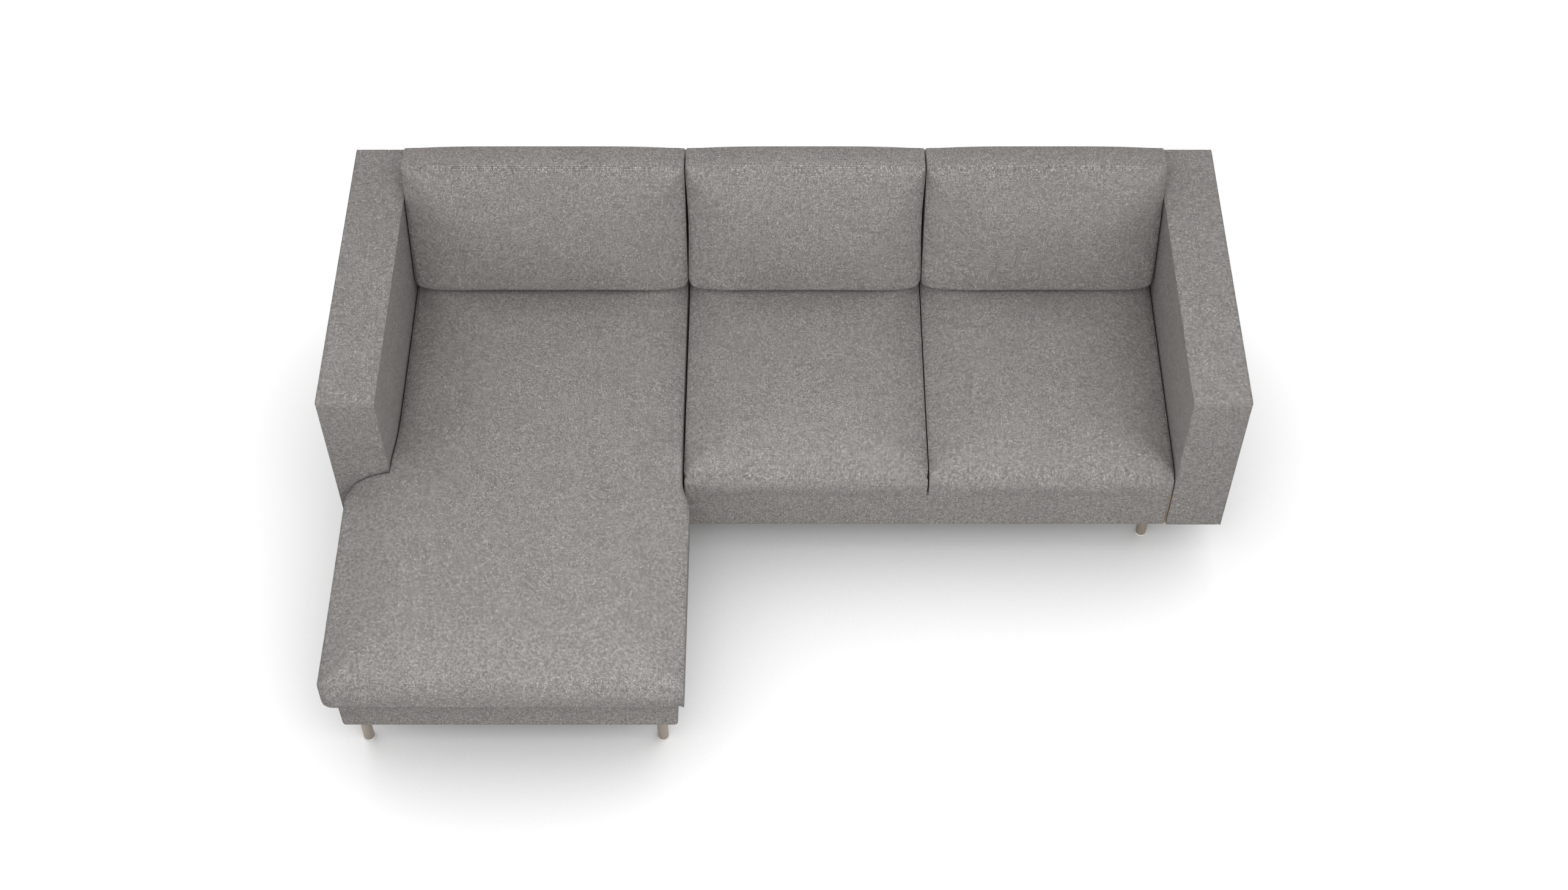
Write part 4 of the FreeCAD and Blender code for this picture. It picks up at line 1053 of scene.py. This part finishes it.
class SOFA_OT_finishes(bpy.types.Operator):
    """Makes the fabrics and gives the hard parts their finishes"""

    bl_idname = "sofa.finishes"
    bl_label = "Finishes"

    def execute(self, context):
        woven_tweed(context.scene.sofa_fabric)
        spun_bond()
        pine = {axis: planed_pine(axis) for axis in "XYZ"}
        plain, milled = (3.0, 0.22, 0.2, 0.05 * MM), (2.0, 0.2, 0.15, 0.1 * MM)
        # Bright zinc plate: cool, half shiny, slightly cloudy every 4 mm.
        zinc = fine_marks("Zinc-plated steel", "#8f9090", "#c9c9c4", 240.0, 0.25, plain, Metallic=1.0)
        # Drawn wire under a film of oil: dark and half shiny, with smears 3 mm apart.
        sprung = fine_marks("Oiled spring steel", "#4b4c4f", "#7c7d80", 300.0, 0.23, plain, Metallic=1.0)
        # Lacquered tube, brushed along its length: warm grey with a soft bright band. Real brush marks are
        # finer than 0.2 mm. They are drawn 1.4 mm apart.
        length = (1, 1, 0.04)
        brushed = fine_marks("Satin bronze-grey tube", "#8f857a", "#b4a99b", 700.0, 0.27, plain, length, Metallic=0.75)
        # Moulded nylon: half matt, with the grain of its mould, 1.1 mm apart.
        nylon = fine_marks("Off-white moulded nylon", "#dcdad4", "#efede8", 900.0, 0.35, milled)
        finishes = {
            brushed: ("_legs",),
            nylon: ("_glides",),
            sprung: ("_springs", "_spring_clips"),
            zinc: ("_leg_studs", "_leg_plates", "_plate_screws", "_connectors"),
            pine["X"]: ("_leg_blocks", "_back_frame", "_front_rail", "_rear_rail", "_return_rail"),
            pine["Y"]: ("_outer_rail", "_inner_rail", "_joint_rail", "_arm_rail", "_cross_rail"),
            pine["Z"]: ("_arm_frame",),
        }
        for name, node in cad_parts.items():
            for material, endings in finishes.items():
                if name.endswith(endings):
                    node.data.materials.clear()
                    node.data.materials.append(material)
        return {"FINISHED"}


def cloth_plan(outline, holes, step):
    """Points and triangles of a flat sheet inside an outline, with round holes."""
    low, high = outline.min(0), outline.max(0)
    ring, edges = [], []
    turn = np.linspace(0, 2 * math.pi, 24, endpoint=False)
    circles = [np.stack((x + r * np.cos(turn), y + r * np.sin(turn)), 1) for x, y, r in holes]
    for loop in (outline, *circles):
        pieces = []
        for a, b in sides(loop):
            count = max(1, round(np.linalg.norm(b - a) / step))
            pieces += [a + (b - a) * k / count for k in range(count)]
        first = len(ring)
        ring += pieces
        edges += [(first + k, first + (k + 1) % len(pieces)) for k in range(len(pieces))]
    xs = np.arange(low[0] + step / 2, high[0], step)
    ys = np.arange(low[1] + step / 2, high[1], step)
    spots = np.stack(np.meshgrid(xs, ys, indexing="ij"), -1).reshape(-1, 2)
    keep = is_inside(spots, outline) & (insets(spots, outline)[0] > step * 0.35)
    for x, y, r in holes:
        keep &= np.hypot(spots[:, 0] - x, spots[:, 1] - y) > r + step * 0.35
    points = [Vector(p) for p in [*ring, *spots[keep]]]
    made = delaunay_2d_cdt(points, edges, [], 0, 1e-6)
    at = np.array([tuple(p) for p in made[0]])
    faces = np.array(made[2])
    middle = at[faces].mean(1)
    inside = is_inside(middle, outline)
    for x, y, r in holes:
        inside &= np.hypot(middle[:, 0] - x, middle[:, 1] - y) > r * 0.98
    return at, faces[inside]


class SOFA_OT_linings(bpy.types.Operator):
    """Stretches the deck cloths over the springs and the dust cloths under the frames"""

    bl_idname = "sofa.linings"
    bl_label = "Linings"

    def execute(self, context):
        lining = bpy.data.materials[LINING]
        for section in SECTIONS:
            for kind in ("deck", "dust"):
                low, high = box(f"{section}_{kind}_cloth")
                outline = rectangle(low[0], low[1], high[0], high[1])
                if section == "chaise":
                    # The arm's foot takes a corner out of the rectangle.
                    arm_low, arm_high = box("left_arm_cover")
                    at = (arm_high[0] + 2 * MM, arm_low[1] + 18 * MM)
                    if kind == "dust":
                        at = (-1202 * MM, arm_low[1] + 32 * MM)
                    outline = without_corner(low[:2], high[:2], at, kind == "deck")
                holes = [] if kind == "deck" else [(x * MM, y * MM, LEG_HOLE) for x, y in LEG_PLACES[section]]
                plan, faces = cloth_plan(outline, holes, 26 * MM)
                x, y = plan[:, 0], plan[:, 1]
                slack = insets(plan, outline)[0]
                for hx, hy, r in holes:
                    slack = np.minimum(slack, np.hypot(x - hx, y - hy) - r)
                slack = 1 - np.exp(-np.maximum(slack, 0) / (90 * MM))
                if kind == "deck":
                    # It lies on the springs and dips a little between them.
                    z = low[2] + 0.6 * MM + slack * 0.5 * MM * (ripple(x, y, 0.12, 3) + 1)
                else:
                    # It sags about 3 mm between the rails.
                    z = high[2] - 0.2 * MM - slack * (3.2 * MM + 0.8 * MM * ripple(x, y, 0.25, 8))
                points = np.column_stack((plan, z))
                cloth = new_piece(f"{section}_{kind}_lining", points, faces, plan[faces])
                settle(cloth, f"{section}_section", lining, (f"{section}_{kind}_cloth",))
        return {"FINISHED"}


def seen_ray(tree):
    """1 for rays that the camera sends, straight, mirrored or through glass."""
    path = add(tree, "LightPath").outputs
    seen = path["Is Camera Ray"]
    for kind in ("Is Glossy Ray", "Is Transmission Ray"):
        seen = add(tree, "Math", seen, path[kind], operation="MAXIMUM")
    return seen


class SOFA_OT_studio(bpy.types.Operator):
    """Sets up the camera, the soft light and the pale floor"""

    bl_idname = "sofa.studio"
    bl_label = "Studio"

    def execute(self, context):
        scene, studio = context.scene, context.scene.sofa_studio
        scene.view_settings.view_transform = "Standard"
        camera = bpy.data.objects.new("camera", bpy.data.cameras.new("camera"))
        camera.data.lens, camera.data.sensor_width = studio.lens, 36
        camera.location, camera.rotation_euler = studio.eye, (studio.look_down, 0, 0)
        camera.data.clip_end = 100
        scene.collection.objects.link(camera)
        scene.camera = camera
        lamp = bpy.data.lights.new("key", "AREA")
        lamp.shape, lamp.size, lamp.energy = "DISK", 2.4, studio.key
        key = bpy.data.objects.new("key", lamp)
        key.location = (0.15, -2.3, 2.9)
        key.rotation_euler = (Vector((0, 0.2, 0.3)) - Vector(key.location)).to_track_quat("-Z", "Y").to_euler()
        scene.collection.objects.link(key)
        world = bpy.data.worlds.new("studio")
        scene.world = world
        world.use_nodes = True
        tree = world.node_tree
        tree.nodes.clear()
        white = (1, 1, 1, 1)
        backdrops = [add(tree, "Background", white, strength) for strength in (studio.sky, 1.0)]
        add(tree, "OutputWorld", add(tree, "MixShader", seen_ray(tree), *backdrops))
        floor = new_piece("floor", [(x, y, -0.5 * MM) for x, y in rectangle(-9, -9, 9, 9)], [(0, 1, 2, 3)])
        inputs = {"Roughness": 0.9, "Specular_IOR_Level": 0.1}
        material = new_material("Pale painted floor", lambda tree: {"Base Color": linear("#a9a9a9")}, **inputs)
        tree = material.node_tree
        shader = next(n for n in tree.nodes if n.type == "BSDF_PRINCIPLED")
        output = next(n for n in tree.nodes if n.type == "OUTPUT_MATERIAL")
        # The glow that makes the floor white is held back by ambient occlusion where the sofa covers it. This paints a
        # soft shadow there, on top of the lit floor's own shadow.
        # It looks up and back, because the photograph's soft shadow falls towards the front.
        lean = add(tree, "CombineXYZ", *Vector((0, 0.5, 0.87)).normalized())
        painted_shadow_mask = add(tree, "AmbientOcclusion", inputs={"Distance": 1.2, "Normal": lean}, samples=8)
        held = add(tree, "MapRange", painted_shadow_mask.outputs["AO"], 0.05, 0.88, 0.0, 0.73)
        strength = add(tree, "Math", seen_ray(tree), held, operation="MULTIPLY")
        glow = add(tree, "Emission", white, strength)
        tree.links.new(add(tree, "AddShader", shader, glow).outputs[0], output.inputs["Surface"])
        floor.data.materials.append(material)
        return {"FINISHED"}


OPERATORS = (
    SOFA_OT_finishes,
    SOFA_OT_arms,
    SOFA_OT_back_rests,
    SOFA_OT_bases,
    SOFA_OT_linings,
    SOFA_OT_seat_cushions,
    SOFA_OT_back_cushions,
    SOFA_OT_plump_cushions,
    SOFA_OT_studio,
)


class SOFA_PT_dressing(bpy.types.Panel):
    """The sofa's steps and settings"""

    bl_idname = "SOFA_PT_dressing"
    bl_label = "Sofa"
    bl_space_type = "VIEW_3D"
    bl_region_type = "UI"
    bl_category = "Sofa"

    def draw(self, context):
        for settings in (context.scene.sofa_fabric, context.scene.sofa_cushions, context.scene.sofa_studio):
            for name in settings.__annotations__:
                self.layout.prop(settings, name)
        for operator in OPERATORS:
            self.layout.operator(operator.bl_idname)


CLASSES = (FabricLook, CushionShape, Studio, *OPERATORS, SOFA_PT_dressing)


def register():
    for item in CLASSES:
        bpy.utils.register_class(item)
    bpy.types.Scene.sofa_fabric = PointerProperty(type=FabricLook)
    bpy.types.Scene.sofa_cushions = PointerProperty(type=CushionShape)
    bpy.types.Scene.sofa_studio = PointerProperty(type=Studio)


def unregister():
    for name in ("sofa_fabric", "sofa_cushions", "sofa_studio"):
        delattr(bpy.types.Scene, name)
    for item in reversed(CLASSES):
        bpy.utils.unregister_class(item)


def main():
    register()
    for operator in OPERATORS:
        group, name = operator.bl_idname.split(".")
        getattr(getattr(bpy.ops, group), name)()


if __name__ == "__main__":
    main()
